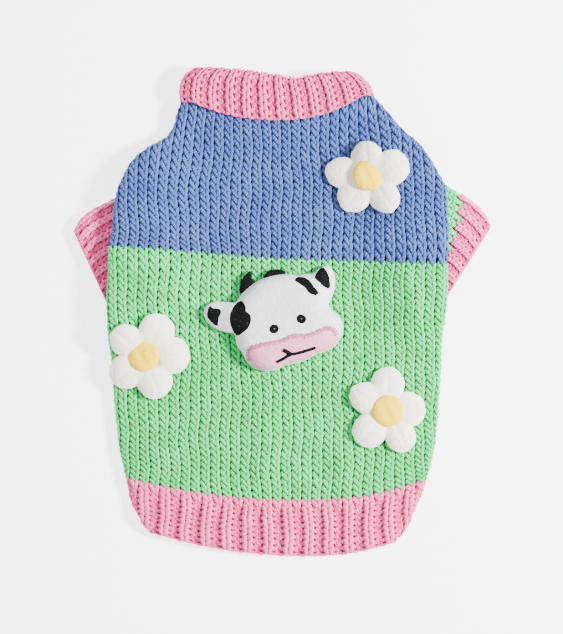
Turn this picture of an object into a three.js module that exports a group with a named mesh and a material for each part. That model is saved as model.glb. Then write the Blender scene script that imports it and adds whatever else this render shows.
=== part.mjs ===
// Knitted dog sweater with a folded turtleneck and short sleeves, lying flat on its belly.
// The back is up and the collar points to +Y. Millimetres, +Z up, the floor at z = 0.

import * as THREE from 'three';

// Cloth
const WALL = 3.0; // thickness of the knitting
const PLY_GAP = 0.6; // air between two layers that lie on each other
const SEAM = 0.3; // gap between pieces that are sewn together
const REST = 0.5; // gap below a piece that is sewn onto the back
const FOLD = WALL + PLY_GAP / 2; // outer radius where a flattened tube turns over
const TUBE = 2 * FOLD; // height of a flattened tube

// Rows of the flattened body from below the collar to the hem. left and right are the points of
// the outline, mid_x and back_y the lowest point of the row on the back, cusp how sharply it dips
// there, strip how far the back turns under to its side seam, belly_y the row on the belly.
const BODY = table(
  ['name', 'left_x', 'left_y', 'mid_x', 'back_y', 'right_x', 'right_y', 'cusp', 'strip', 'belly_y'],
  [
    ['neck_base', -55, 103, 0, 94, 54, 104.5, 0, 14, 100.5],
    ['shoulder_1', -56.5, 97, 0, 89, 59, 98, 0, 14, 95],
    ['shoulder_2', -60.5, 90.5, 0, 83.5, 64.5, 92, 0, 14, 90],
    ['shoulder_3', -69.5, 85, 0, 78.5, 71, 86.5, 0, 14, 85],
    ['shoulder_4', -77.5, 78.5, 0, 73, 76.5, 79, 0, 14.5, 78.5],
    ['shoulder_5', -82.5, 70, 0, 66, 81, 71, 0, 15, 71],
    ['chest_1', -85.5, 63, 0, 59.5, 84.5, 64, 0, 15, 64],
    ['chest_2', -87.5, 52.5, 0, 49, 85.5, 53.5, 0, 15, 54],
    ['chest_3', -88.5, 41, -5, 37, 86, 39.5, 0.3, 15, 43],
    ['stripe', -90, 33.5, -10, 27.5, 85.5, 24.5, 0.6, 15.5, 34.5],
    ['waist_1', -90.5, 18.5, -5, 14.5, 85.5, 12, 0.3, 16, 22.5],
    ['waist_2', -91, 3, 0, -1, 84.5, -2, 0, 16.5, 9],
    ['waist_3', -90.5, -12.5, 0, -16.5, 83, -16.5, 0, 17, -4.5],
    ['waist_4', -89, -28, 0, -32, 82.5, -31, 0, 18, -18],
    ['waist_5', -88, -43.5, 0, -48, 81.5, -46, 0, 19, -31],
    ['rump_1', -86.5, -59.5, 5, -63.5, 80.5, -60.5, 0, 20, -43.5],
    ['rump_2', -84.5, -73.5, 10, -80, 78.5, -75, 0, 21, -54],
    ['rib_top', -81.5, -87, 12, -98, 75, -88, 0, 22, -63],
    ['rib_1', -79, -98.5, 14, -108.5, 71, -99.5, 0, 22, -72.5],
    ['rib_2', -75.5, -107, 15, -118, 66.5, -110, 0, 22, -81],
    ['hem', -69, -115.5, 15, -127, 59, -120.5, 0, 21, -89],
  ],
);

// Rows of the folded collar, evenly spaced from the cast-off edge of its flap to the fold on top
const COLLAR = table(
  ['name', 'left_x', 'left_y', 'mid_x', 'back_y', 'right_x', 'right_y', 'cusp', 'strip', 'belly_y'],
  [
    ['cast_off', -54.3, 108.2, -2, 98.5, 48.9, 111.6, 0, 14, 103],
    ['flap_1', -54.6, 112.6, 0, 104, 48, 114, 0.2, 14, 106.5],
    ['flap_2', -54.2, 117, 2, 109.5, 46.7, 116.8, 0.4, 14, 110],
    ['flap_3', -52.6, 121.3, 4, 115, 44.2, 120, 0.7, 14, 113.5],
    ['top', -47, 126.3, 6.5, 120.6, 39, 124.2, 1, 14, 116.5],
  ],
);
const ROW_BOW = 2.2; // how a row curves up towards the sides
const NECK_SEAM = 0.45; // where the body ends below the flap, as a share of the collar's height
const COLLAR_HEIGHT = 21; // from the cast-off edge to the fold
const COLLAR_RIBS = 10;
const COLLAR_UNDER_SPANS = 8;
const NECK_SLOPE = 24; // length over which the body comes down to the floor below the flap

// Ribs of the hem, the cuffs and the collar, three columns for each rib: a groove and its crown
const RIB_RISE = 0.9;
const RIB_RELIEF = [0, RIB_RISE, RIB_RISE];
const HEM_RIBS = 15;
const CUFF_RIBS = 7;

// Sleeves lie on the floor and run out from the side seams, below the turned back
const SLEEVES = table(
  ['side', 'root_top', 'root_low', 'end_top_x', 'end_top_y', 'end_low_x', 'end_low_y', 'cuff_from'],
  [
    ['left', 67.5, 8, -111.2, 47.5, -90, 1.5, 0.44],
    ['right', 80, 11, 112, 49.5, 83.5, 4.5, 0.635],
  ],
);
const SLEEVE_CORNER = 0.1; // share of the cuff's width that its upper corner is rounded off by
const SLEEVE_CORNER_FROM = 0.65; // share of the sleeve's length where that corner starts
const SLEEVE_LIFT = TUBE + RIB_RISE + SEAM; // what lies over a sleeve is held this far off the floor
const SLEEVE_MARGIN = 3; // and stays up for this far past the sleeve's edge
const SLEEVE_SLOPE = 34; // before it comes down to the floor over this length

// Soft folds in the back, as low ridges
const SOFT_FOLDS = table(
  ['name', 'x', 'y', 'length', 'width', 'height', 'turn'],
  [
    ['centre', -9, -74, 42, 13, 2.1, 87],
    ['left_flank', -64, -78, 30, 17, 1.6, 62],
    ['right_flank', 32, -84, 26, 11, 1.8, 93],
    ['left_yoke', -38, 62, 30, 12, 0.7, 40],
    ['right_waist', 67, 4, 30, 9, 1.4, 98],
  ],
);

// Counts of faces
const STRIP_SPANS = 2;
const FOLD_SPANS = 4;
const BACK_SPANS = 20;
const BELLY_SPANS = 9;
const SLEEVE_SPANS = 8;
const CUFF_ROWS = 4;
const PAD_RINGS = [0, 0.4, 0.75, 0.92, 1]; // shares of a stuffed pad's reach

// Daisies: five puffed petals round a domed centre
const DAISIES = table(
  ['name', 'x', 'y'],
  [
    ['daisy_1', 44.5, 70],
    ['daisy_2', -71.5, -23],
    ['daisy_3', 54.5, -51.5],
  ],
);
const PETALS = table(
  ['daisy', 'turn', 'reach', 'width'],
  [
    ['daisy_1', 18, 21.3, 18.5],
    ['daisy_1', 97, 17.6, 16.5],
    ['daisy_1', 174, 22.6, 16],
    ['daisy_1', -126, 21.7, 17.5],
    ['daisy_1', -55, 22.5, 15.5],
    ['daisy_2', 0, 23.7, 19.5],
    ['daisy_2', 62, 23.4, 18.5],
    ['daisy_2', 139, 20.5, 17],
    ['daisy_2', -138, 21.5, 18],
    ['daisy_2', -68, 23.6, 18.5],
    ['daisy_3', 3, 19.5, 18.5],
    ['daisy_3', 91, 22.7, 17.5],
    ['daisy_3', 153, 22.1, 16],
    ['daisy_3', -131, 23, 18],
    ['daisy_3', -64, 23.3, 16],
  ],
);
const PETAL = { along: 9.2, rise: 3.6, edge: 1.5 };
const DAISY_CENTRE = { radius: 8.2, hub: 3, rise: 3.4, edge: 1, seat: 1.9 };
const PETAL_START = [8.6, 11.5]; // the petals rise between these distances from the middle
const DAISY_COLUMNS = 60; // faces round the petals, and round the middle
const DAISY_CENTRE_COLUMNS = 20;

// Stuffed cow's head, in its own axes turned on the back: ovals that make up the outline
const COW = { x: -0.3, y: -3.5, turn: 17, hub: 8, columns: 84 };
const COW_HEAD = table(
  ['name', 'x', 'y', 'along', 'across', 'turn', 'rise'],
  [
    ['brow', -0.5, 1, 25.5, 21.3, 0, 8],
    ['sides', 0, -6, 26.4, 15, 0, 7.5],
    ['jaw', 2, -12, 20, 12.7, 0, 7],
    ['right_brow', 14, 9, 14, 9.6, 0, 6.5],
    ['left_cheek', -11.2, -12.5, 13.4, 12.3, 0, 6.5],
    ['right_cheek', 15, -11.5, 14.2, 11.8, 0, 6.5],
    ['left_ear', -28, 9, 11.5, 7.6, -38, 4],
    ['right_ear', 24.5, 9, 11.5, 6.5, 60, 4],
  ],
);
const COW_EDGE = 1.6; // thickness of the head at its rim
const COW_MUZZLE = table(
  ['name', 'x', 'y', 'along', 'across', 'turn', 'rise'],
  [
    ['left', -12.5, 0, 10.5, 5.8, 0, 1.2],
    ['middle', 0, 0, 17, 6.2, 0, 1.2],
    ['right', 12.5, 0, 10.5, 5.8, 0, 1.2],
  ],
);
const MUZZLE_AT = { x: 1.3, y: -16.2, edge: 0.8, hub: 2.5 };
const COW_HORNS = table(
  ['name', 'from', 'to', 'tip_x', 'tip_y', 'thickness'],
  [
    ['cow_horn_left', 132, 116, -8.4, 28.6, 2.6],
    ['cow_horn_right', 97, 70, 3.4, 26.4, 2.2],
  ],
);
const HORN_SPANS = 5;
const HORN_EDGE = 0.8; // thickness at a horn's rim
const HORN_END = 0.9; // where a horn is cut off, as a share of the way to its tip

// Colours of the yarns and the felt
const BLUE = yarn(0x8fa3d6);
const GREEN = yarn(0x8ee8a8);
const PINK = yarn(0xf49bbe);
const WHITE = yarn(0xf0eeea);
const YELLOW = yarn(0xfce288);
const BLACK = yarn(0x1c1b1e);

function ribRelief(i) {
  return RIB_RELIEF[i % RIB_RELIEF.length];
}

function yarn(colour) {
  return () => new THREE.MeshStandardMaterial({ color: colour, roughness: 0.95, metalness: 0 });
}

// Turns a table's rows into objects with the named columns
function table(columns, rows) {
  return rows.map((row) => Object.fromEntries(columns.map((name, i) => [name, row[i]])));
}

// Numbers of a table at a fractional place, on a smooth curve through its rows
function rowAt(rows, place) {
  const last = rows.length - 1;
  const start = THREE.MathUtils.clamp(Math.floor(place), 0, last - 1);
  const near = [-1, 0, 1, 2].map((k) => rows[THREE.MathUtils.clamp(start + k, 0, last)]);
  const numbers = Object.keys(rows[0]).filter((name) => name !== 'name');
  return Object.fromEntries(
    numbers.map((name) => [name, catmullRom(place - start, ...near.map((row) => row[name]))]),
  );
}

function catmullRom(t, a, b, c, d) {
  const slope = (c - a) / 2;
  const nextSlope = (d - b) / 2;
  const square = t * t;
  const cube = square * t;
  return (
    (2 * cube - 3 * square + 1) * b +
    (cube - 2 * square + t) * slope +
    (3 * square - 2 * cube) * c +
    (cube - square) * nextSlope
  );
}

function moved(row, dy) {
  const heights = ['left_y', 'back_y', 'right_y', 'belly_y'];
  return { ...row, ...Object.fromEntries(heights.map((name) => [name, row[name] + dy])) };
}

// Row of the collar, or of the neck inside it: the neck lies one wall inside the collar's flap
function collarRow(share) {
  return { ...rowAt(COLLAR, share * (COLLAR.length - 1)), inset: FOLD };
}

// Middles of the turns at the two sides of a row
function turnCentres(row) {
  const inset = FOLD + (row.inset ?? 0);
  return [row.left_x + inset, row.right_x - inset];
}

// Height of a row across the back, and across the belly, whose ends lie at the outline's height
function backY(row, x) {
  const [leftTurn, rightTurn] = turnCentres(row);
  const edgeX = x < row.mid_x ? leftTurn : rightTurn;
  const edgeY = x < row.mid_x ? row.left_y : row.right_y;
  const t = Math.min(Math.abs((x - row.mid_x) / (edgeX - row.mid_x)), 1);
  const bow = t ** ROW_BOW;
  const dip = 1 - (1 - t) ** 2;
  return row.back_y + (edgeY - row.back_y) * THREE.MathUtils.lerp(bow, dip, row.cusp);
}

function bellyY(row, x) {
  const [leftTurn, rightTurn] = turnCentres(row);
  const middle = (leftTurn + rightTurn) / 2;
  const edgeY = x < middle ? row.left_y : row.right_y;
  const t = Math.min(Math.abs((x - middle) / (rightTurn - middle)), 1);
  return row.belly_y + (edgeY - row.belly_y) * t ** 2;
}

// How far a layer is held off the floor: by the collar's lower half, and by the sleeves
function neckLift(distance) {
  return FOLD * (1 - THREE.MathUtils.smoothstep(distance, 1, NECK_SLOPE));
}

function sleeveLift(x, y) {
  const gap = Math.min(...sleeveOutlines.map((outline) => distanceTo(outline, x, y)));
  const away = THREE.MathUtils.smoothstep(gap, SLEEVE_MARGIN, SLEEVE_MARGIN + SLEEVE_SLOPE);
  return SLEEVE_LIFT * (1 - away);
}

function backLift(x, y) {
  return Math.max(neckLift(backY(collarRow(0), x) - y), sleeveLift(x, y));
}

function bellyLift(x, y) {
  return neckLift(bellyY(collarRow(0), x) - y);
}

// Distance from a point to a closed outline, zero inside it
function distanceTo(outline, x, y) {
  let inside = false;
  let nearest = Infinity;
  outline.forEach(([ax, ay], i) => {
    const [bx, by] = outline[(i + 1) % outline.length];
    if (ay > y !== by > y && x < ax + ((bx - ax) * (y - ay)) / (by - ay)) inside = !inside;
    const along = ((x - ax) * (bx - ax) + (y - ay) * (by - ay)) / ((bx - ax) ** 2 + (by - ay) ** 2);
    const t = THREE.MathUtils.clamp(along, 0, 1);
    nearest = Math.min(nearest, Math.hypot(x - ax - t * (bx - ax), y - ay - t * (by - ay)));
  });
  return inside ? 0 : nearest;
}

function softFolds(x, y) {
  return SOFT_FOLDS.reduce((sum, fold) => {
    const [along, across] = turned(x - fold.x, y - fold.y, -fold.turn);
    const fade = Math.exp(-((along / fold.length) ** 2) * 3 - (across / fold.width) ** 2 * 3);
    return sum + fold.height * fade;
  }, 0);
}

function turned(x, y, degrees) {
  const angle = THREE.MathUtils.degToRad(degrees);
  return [x * Math.cos(angle) - y * Math.sin(angle), x * Math.sin(angle) + y * Math.cos(angle)];
}

// Top of the back's cloth as a smooth surface
function backTop(x, y) {
  return TUBE + backLift(x, y) + softFolds(x, y);
}

// Top of the back's cloth on the faces that its panels are made of
const topFaces = [];

function clothTop(x, y) {
  for (const [a, b, c] of topFaces) {
    const whole = (b.x - a.x) * (c.y - a.y) - (c.x - a.x) * (b.y - a.y);
    const shareB = ((x - a.x) * (c.y - a.y) - (c.x - a.x) * (y - a.y)) / whole;
    const shareC = ((b.x - a.x) * (y - a.y) - (x - a.x) * (b.y - a.y)) / whole;
    if (shareB >= 0 && shareC >= 0 && shareB + shareC <= 1) {
      return a.z + shareB * (b.z - a.z) + shareC * (c.z - a.z);
    }
  }
  return backTop(x, y);
}

// Closed solid from points and the corners of its triangles, with its faces turned outwards
function solid(points, corners) {
  let volume = 0;
  for (let i = 0; i < corners.length; i += 3) {
    const [a, b, c] = [points[corners[i]], points[corners[i + 1]], points[corners[i + 2]]];
    volume += a.dot(b.clone().cross(c));
  }
  const geometry = new THREE.BufferGeometry().setFromPoints(points);
  geometry.setIndex(volume > 0 ? corners : corners.toReversed());
  geometry.computeVertexNormals();
  return geometry;
}

// Corners of the quads of a grid of points numbered row by row, which may close on itself
function gridCorners(rows, columns, closedRows, closedColumns) {
  const corners = [];
  const at = (i, j) => (i % rows) * columns + (j % columns);
  for (let i = 0; i < (closedRows ? rows : rows - 1); i += 1) {
    for (let j = 0; j < (closedColumns ? columns : columns - 1); j += 1) {
      corners.push(at(i, j), at(i, j + 1), at(i + 1, j + 1));
      corners.push(at(i, j), at(i + 1, j + 1), at(i + 1, j));
    }
  }
  return corners;
}

// Ring of cloth: each row runs all round it, and the rows close on themselves round the wall
function ringSolid(rows) {
  return solid(rows.flat(), gridCorners(rows.length, rows[0].length, true, true));
}

// Open panel of cloth: each row runs along its outer face and back along its inner face
function panelSolid(outer, inner) {
  const rows = outer.map((row, i) => [...row, ...inner[i].toReversed()]);
  const columns = rows[0].length;
  const corners = gridCorners(rows.length, columns, false, true);
  [0, rows.length - 1].forEach((row, end) => {
    for (let j = 0; j + 1 < outer[0].length; j += 1) {
      const [a, b] = [j, j + 1].map((k) => row * columns + k);
      const [c, d] = [j + 1, j].map((k) => row * columns + columns - 1 - k);
      corners.push(...(end ? [a, b, c, a, c, d] : [a, c, b, a, d, c]));
    }
  });
  return solid(rows.flat(), corners);
}

// Pad of rings of points between a point on top and a point below
function padSolid(top, rings, bottom) {
  const count = rings[0].length;
  const corners = gridCorners(rings.length, count, false, true);
  const last = (rings.length - 1) * count;
  const [topIndex, bottomIndex] = [rings.length * count, rings.length * count + 1];
  for (let j = 0; j < count; j += 1) {
    const next = (j + 1) % count;
    corners.push(topIndex, next, j);
    corners.push(bottomIndex, last + j, last + next);
  }
  return solid([...rings.flat(), top, bottom], corners);
}

function vector(x, y, z) {
  return new THREE.Vector3(x, y, z);
}

function piece(name, material, geometry) {
  const mesh = new THREE.Mesh(geometry, material());
  mesh.name = name;
  return mesh;
}

function steps(count, from = 0, to = 1) {
  return Array.from({ length: count + 1 }, (_, i) => THREE.MathUtils.lerp(from, to, i / count));
}

// Places across the back, from one side seam round both turns to the other
function backPlaces(spans, relief) {
  const side = (sign) => [
    ...steps(STRIP_SPANS, 1, 0).map((share) => ({ zone: 'strip', sign, share })),
    ...steps(FOLD_SPANS).slice(1, -1).map((share) => ({ zone: 'turn', sign, share })),
  ];
  const top = steps(spans).map((share, i) => ({ zone: 'top', share, relief: relief(i) }));
  return [...side(-1), ...top, ...side(1).toReversed()];
}

function backPoints(row, place) {
  const [leftTurn, rightTurn] = turnCentres(row);
  if (place.zone === 'top') {
    const x = THREE.MathUtils.lerp(leftTurn, rightTurn, place.share);
    const y = backY(row, x);
    const z = backTop(x, y);
    return [vector(x, y, z + place.relief), vector(x, y, z - WALL)];
  }
  const turn = place.sign < 0 ? leftTurn : rightTurn;
  const y = place.sign < 0 ? row.left_y : row.right_y;
  if (place.zone === 'strip') {
    const x = turn - place.sign * place.share * (row.strip - FOLD);
    const under = bellyY(row, x);
    const z = Math.max(bellyLift(x, under), sleeveLift(x, under));
    return [vector(x, under, z), vector(x, under, z + WALL)];
  }
  const angle = Math.PI * (place.share - 0.5);
  const z = backLift(turn, y) + FOLD;
  return [FOLD, FOLD - WALL].map((radius) =>
    vector(turn + place.sign * radius * Math.cos(angle), y, z + radius * Math.sin(angle)),
  );
}

function backPanel(rows, spans, relief = () => 0) {
  const places = backPlaces(spans, relief);
  const points = rows.map((row) => places.map((place) => backPoints(row, place)));
  const sheets = [0, 1].map((face) => points.map((row) => row.map((pair) => pair[face])));
  const top = places.map((place) => place.zone === 'top');
  for (let i = 0; i + 1 < rows.length; i += 1) {
    for (let j = top.indexOf(true); j < top.lastIndexOf(true); j += 1) {
      const [[a, b], [d, c]] = [i, i + 1].map((row) => [sheets[0][row][j], sheets[0][row][j + 1]]);
      topFaces.push([a, b, c], [a, c, d]);
    }
  }
  return panelSolid(...sheets);
}

function bellyPanel(rows) {
  const sheets = [0, WALL].map((up) =>
    rows.map((row) =>
      steps(BELLY_SPANS).map((share) => {
        const [leftTurn, rightTurn] = turnCentres(row);
        const inset = row.strip - FOLD + SEAM;
        const x = THREE.MathUtils.lerp(leftTurn + inset, rightTurn - inset, share);
        const y = bellyY(row, x);
        return vector(x, y, bellyLift(x, y) + up);
      }),
    ),
  );
  return panelSolid(...sheets);
}

// Rows of the body between two named rows, both ends drawn in by half a seam
function bodyRows(from, to) {
  const [first, last] = [from, to].map((name) => BODY.findIndex((row) => row.name === name));
  return BODY.slice(first, last + 1).map((row, i) => {
    const trim = (i === last - first ? 0.5 : 0) - (i === 0 ? 0.5 : 0);
    return moved(row, trim * SEAM);
  });
}

function body() {
  const neck = [collarRow(NECK_SEAM), collarRow(NECK_SEAM / 2), collarRow(0)];
  const neckRows = [moved(neck[0], -SEAM), neck[1], moved(neck[2], -1)];
  const yoke = [...neckRows, ...bodyRows('neck_base', 'stripe')];
  const lower = bodyRows('stripe', 'rib_top');
  const hem = bodyRows('rib_top', 'hem');
  const bellyRows = [...neckRows, ...bodyRows('neck_base', 'rib_top')];
  return [
    piece('back_yoke', BLUE, backPanel(yoke, BACK_SPANS)),
    piece('back_lower', GREEN, backPanel(lower, BACK_SPANS)),
    piece('back_hem', PINK, backPanel(hem, HEM_RIBS * RIB_RELIEF.length, ribRelief)),
    piece('belly', GREEN, bellyPanel(bellyRows)),
    piece('belly_hem', PINK, bellyPanel(hem)),
  ];
}

// Section through the folded collar: share of its height, and distance from the middle of the
// flattened neck. The inner leg rises from the neck seam to the fold, and the flap comes down
// outside it to the cast-off edge.
function collarSection() {
  const inner = PLY_GAP / 2;
  const legOut = inner + WALL;
  const flapIn = legOut + SEAM;
  const flapOut = flapIn + WALL;
  const turnRadius = (flapOut - inner) / 2;
  const turnShare = 1 - turnRadius / COLLAR_HEIGHT;
  const leg = [NECK_SEAM, 0.65, turnShare];
  const flap = [turnShare, 0.65, NECK_SEAM, 0.2, 0];
  const turn = steps(4, -90, 90).slice(1, -1).map((degrees) => {
    const angle = THREE.MathUtils.degToRad(degrees);
    const out = (inner + flapOut) / 2 + turnRadius * Math.sin(angle);
    return [turnShare + (1 - turnShare) * Math.cos(angle), out];
  });
  return [
    ...leg.map((share) => [share, inner, 0]),
    ...turn.map(([share, out]) => [share, out, 0]),
    ...flap.map((share) => [share, flapOut, 1]),
    ...flap.toReversed().map((share) => [share, flapIn, 0]),
    [turnShare + SEAM / COLLAR_HEIGHT, (legOut + flapIn) / 2, 0],
    ...leg.toReversed().map((share) => [share, legOut, 0]),
  ];
}

// Places round the flattened collar: over the top, round the right turn, below, round the left
function collarPlaces() {
  const ribSpans = COLLAR_RIBS * RIB_RELIEF.length;
  const turn = (sign, from, to) =>
    steps(FOLD_SPANS, from, to).slice(1, -1).map((degrees) => ({ zone: 'turn', sign, degrees }));
  return [
    ...steps(ribSpans).map((share, i) => ({ zone: 'top', share, relief: ribRelief(i) })),
    ...turn(1, 90, -90),
    ...steps(COLLAR_UNDER_SPANS, 1, 0).map((share) => ({ zone: 'under', share })),
    ...turn(-1, -90, 90),
  ];
}

function collarPoint(place, [share, out, ribbed]) {
  const row = collarRow(share);
  const [left, right] = turnCentres(row);
  if (place.zone === 'turn') {
    const angle = THREE.MathUtils.degToRad(place.degrees);
    const x = (place.sign < 0 ? left : right) + place.sign * out * Math.cos(angle);
    return vector(x, place.sign < 0 ? row.left_y : row.right_y, TUBE + out * Math.sin(angle));
  }
  const x = THREE.MathUtils.lerp(left, right, place.share);
  if (place.zone === 'under') return vector(x, bellyY(row, x), TUBE - out);
  return vector(x, backY(row, x), TUBE + out + ribbed * place.relief);
}

function collar() {
  const places = collarPlaces();
  const rows = collarSection().map((spot) => places.map((place) => collarPoint(place, spot)));
  return piece('collar', PINK, ringSolid(rows));
}

// Side seam's place at a height, on the inner edge of the strip that the back turns under
function seamX(sleeve, y) {
  const outwards = sleeve.side === 'left' ? -1 : 1;
  const seams = BODY.map((row) => {
    const x = outwards < 0 ? row.left_x + row.strip : row.right_x - row.strip;
    return [x, bellyY(row, x)];
  });
  const below = seams.findIndex((seam) => seam[1] < y);
  const [upper, lower] = [seams[below - 1], seams[below]];
  return THREE.MathUtils.mapLinear(y, upper[1], lower[1], upper[0], lower[0]) + 2 * outwards * SEAM;
}

// Point of a flattened sleeve: along from its root to the cuff's edge, across from its upper side
function sleevePoint(sleeve, along, across) {
  const y = THREE.MathUtils.lerp(sleeve.root_top, sleeve.root_low, across);
  const endX = THREE.MathUtils.lerp(sleeve.end_top_x, sleeve.end_low_x, across);
  const endY = THREE.MathUtils.lerp(sleeve.end_top_y, sleeve.end_low_y, across);
  return new THREE.Vector2(seamX(sleeve, y), y).lerp(new THREE.Vector2(endX, endY), along);
}

function sleeveOutline(sleeve) {
  const sides = [
    ...steps(SLEEVE_SPANS).map((across) => sleevePoint(sleeve, 0, across)),
    ...steps(SLEEVE_SPANS, 1, 0).map((across) => sleevePoint(sleeve, 1, across)),
  ];
  return sides.map((point) => [point.x, point.y]);
}

const sleeveOutlines = SLEEVES.map(sleeveOutline);

// One ring round a flattened sleeve, as its outer and inner faces
function sleeveRing(sleeve, along, spans, relief) {
  const rounding = Math.max((along - SLEEVE_CORNER_FROM) / (1 - SLEEVE_CORNER_FROM), 0);
  const corner = SLEEVE_CORNER * rounding ** 2;
  const top = sleevePoint(sleeve, along, corner);
  const bottom = sleevePoint(sleeve, along, 1);
  const width = top.distanceTo(bottom);
  const outwards = top.clone().sub(bottom).normalize();
  const flat = (share) => {
    const across = THREE.MathUtils.lerp(FOLD / width, 1 - FOLD / width, share);
    return sleevePoint(sleeve, along, THREE.MathUtils.lerp(corner, 1, across));
  };
  const turn = (centre, sign, from, to) =>
    steps(FOLD_SPANS, from, to).slice(1, -1).map((degrees) => {
      const angle = THREE.MathUtils.degToRad(degrees);
      return [FOLD, FOLD - WALL].map((radius) => {
        const at = centre.clone().addScaledVector(outwards, sign * radius * Math.cos(angle));
        return vector(at.x, at.y, FOLD + radius * Math.sin(angle));
      });
    });
  const layer = (share, outer, inner) => {
    const at = flat(share);
    return [vector(at.x, at.y, outer), vector(at.x, at.y, inner)];
  };
  return [
    ...steps(spans).map((share, i) => layer(share, TUBE + relief(i), TUBE - WALL)),
    ...turn(flat(1), -1, 90, -90),
    ...steps(SLEEVE_SPANS, 1, 0).map((share) => layer(share, 0, WALL)),
    ...turn(flat(0), 1, -90, 90),
  ];
}

function sleeveTube(sleeve, places, spans, relief = () => 0) {
  const rings = places.map((along) => sleeveRing(sleeve, along, spans, relief));
  const outer = rings.map((ring) => ring.map((pair) => pair[0]));
  const inner = rings.map((ring) => ring.map((pair) => pair[1]));
  return ringSolid([...outer, ...inner.toReversed()]);
}

function sleeves() {
  return SLEEVES.flatMap((sleeve) => {
    const length = sleevePoint(sleeve, 0, 0.5).distanceTo(sleevePoint(sleeve, 1, 0.5));
    const gap = SEAM / length;
    const root = steps(3, 0, sleeve.cuff_from - gap);
    const cuff = steps(CUFF_ROWS, sleeve.cuff_from);
    const ribSpans = CUFF_RIBS * RIB_RELIEF.length;
    return [
      piece(`sleeve_${sleeve.side}`, GREEN, sleeveTube(sleeve, root, SLEEVE_SPANS)),
      piece(`cuff_${sleeve.side}`, PINK, sleeveTube(sleeve, cuff, ribSpans, ribRelief)),
    ];
  });
}

// Distance from an oval's middle, one at its rim
function ovalDistance(oval, u, v) {
  const [along, across] = turned(u - oval.x, v - oval.y, -oval.turn);
  return Math.hypot(along / oval.along, across / oval.across);
}

// Farthest point of a ray from the origin that still lies in one of the ovals
function reach(ovals, angle) {
  const [dirU, dirV] = [Math.cos(angle), Math.sin(angle)];
  return Math.max(
    ...ovals.map((oval) => {
      const [p, q] = turned(dirU, dirV, -oval.turn);
      const [s, t] = turned(oval.x, oval.y, -oval.turn);
      const a = (p / oval.along) ** 2 + (q / oval.across) ** 2;
      const b = (p * s) / oval.along ** 2 + (q * t) / oval.across ** 2;
      const c = (s / oval.along) ** 2 + (t / oval.across) ** 2 - 1;
      const root = b * b - a * c;
      return root < 0 ? 0 : (b + Math.sqrt(root)) / a;
    }),
  );
}

function puff(ovals, u, v) {
  const rise = (oval) => oval.rise * Math.sqrt(Math.max(0, 1 - ovalDistance(oval, u, v) ** 2));
  return Math.max(...ovals.map(rise));
}

// Stuffed pad over joined ovals. place sets it on the sweater, hub is the radius of its first ring,
// floor is what it lies on, and height its thickness at a point of its own axes.
function ovalPad(ovals, columns, place, hub, floor, height) {
  const angles = steps(columns, 0, 2 * Math.PI).slice(0, -1);
  const point = (share, angle, top) => {
    const distance = share < 0 ? 0 : THREE.MathUtils.lerp(hub, reach(ovals, angle), share);
    const [u, v] = [distance * Math.cos(angle), distance * Math.sin(angle)];
    const [x, y] = turned(u, v, place.turn);
    const z = floor(place.x + x, place.y + y);
    return vector(place.x + x, place.y + y, z + (top ? height(u, v) : 0));
  };
  const rings = [
    ...PAD_RINGS.map((share) => angles.map((angle) => point(share, angle, true))),
    ...PAD_RINGS.toReversed().map((share) => angles.map((angle) => point(share, angle, false))),
  ];
  return padSolid(point(-1, 0, true), rings, point(-1, 0, false));
}

// Petals of one daisy, each an oval that ends at its own reach
function petalsOf(daisy) {
  const own = PETALS.filter((petal) => petal.daisy === daisy);
  return own.map(({ turn, reach: length, width }) => {
    const [x, y] = turned(length - PETAL.along, 0, turn);
    return { x, y, turn, along: PETAL.along, across: width / 2, rise: PETAL.rise };
  });
}

function daisies() {
  const { radius, rise } = DAISY_CENTRE;
  const dome = [{ x: 0, y: 0, turn: 0, along: radius, across: radius, rise }];
  const domeHeight = (u, v) => DAISY_CENTRE.edge + puff(dome, u, v);
  const cloth = (x, y) => clothTop(x, y) + REST;
  const seat = (x, y) => cloth(x, y) + DAISY_CENTRE.seat;
  return DAISIES.flatMap(({ name, x, y }) => {
    const place = { x, y, turn: 0 };
    const petals = petalsOf(name);
    const petalHeight = (u, v) =>
      PETAL.edge + puff(petals, u, v) * THREE.MathUtils.smoothstep(Math.hypot(u, v), ...PETAL_START);
    const [flower, middle] = [
      ovalPad(petals, DAISY_COLUMNS, place, PETAL_START[0], cloth, petalHeight),
      ovalPad(dome, DAISY_CENTRE_COLUMNS, place, DAISY_CENTRE.hub, seat, domeHeight),
    ];
    return [piece(`${name}_petals`, WHITE, flower), piece(`${name}_centre`, YELLOW, middle)];
  });
}

// Place and height of the stuffed head
function cowPoint(u, v) {
  const [x, y] = turned(u, v, COW.turn);
  return [COW.x + x, COW.y + y];
}

function cowHeight(u, v) {
  return COW_EDGE + puff(COW_HEAD, u, v);
}

function cowHorn(horn) {
  const rows = steps(HORN_SPANS).map((rise) => {
    const share = rise * HORN_END;
    return steps(HORN_SPANS).map((across) => {
      const angle = THREE.MathUtils.degToRad(THREE.MathUtils.lerp(horn.from, horn.to, across));
      const radius = reach(COW_HEAD, angle) + REST;
      const u = THREE.MathUtils.lerp(radius * Math.cos(angle), horn.tip_x, share);
      const v = THREE.MathUtils.lerp(radius * Math.sin(angle), horn.tip_y, share);
      const [x, y] = cowPoint(u, v);
      const round = Math.sqrt(Math.max(0, 1 - (2 * across - 1) ** 2)) * (1 - 0.5 * rise);
      const z = clothTop(x, y) + REST;
      return [vector(x, y, z + HORN_EDGE + horn.thickness * round), vector(x, y, z)];
    });
  });
  return panelSolid(...[0, 1].map((face) => rows.map((row) => row.map((pair) => pair[face]))));
}

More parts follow.
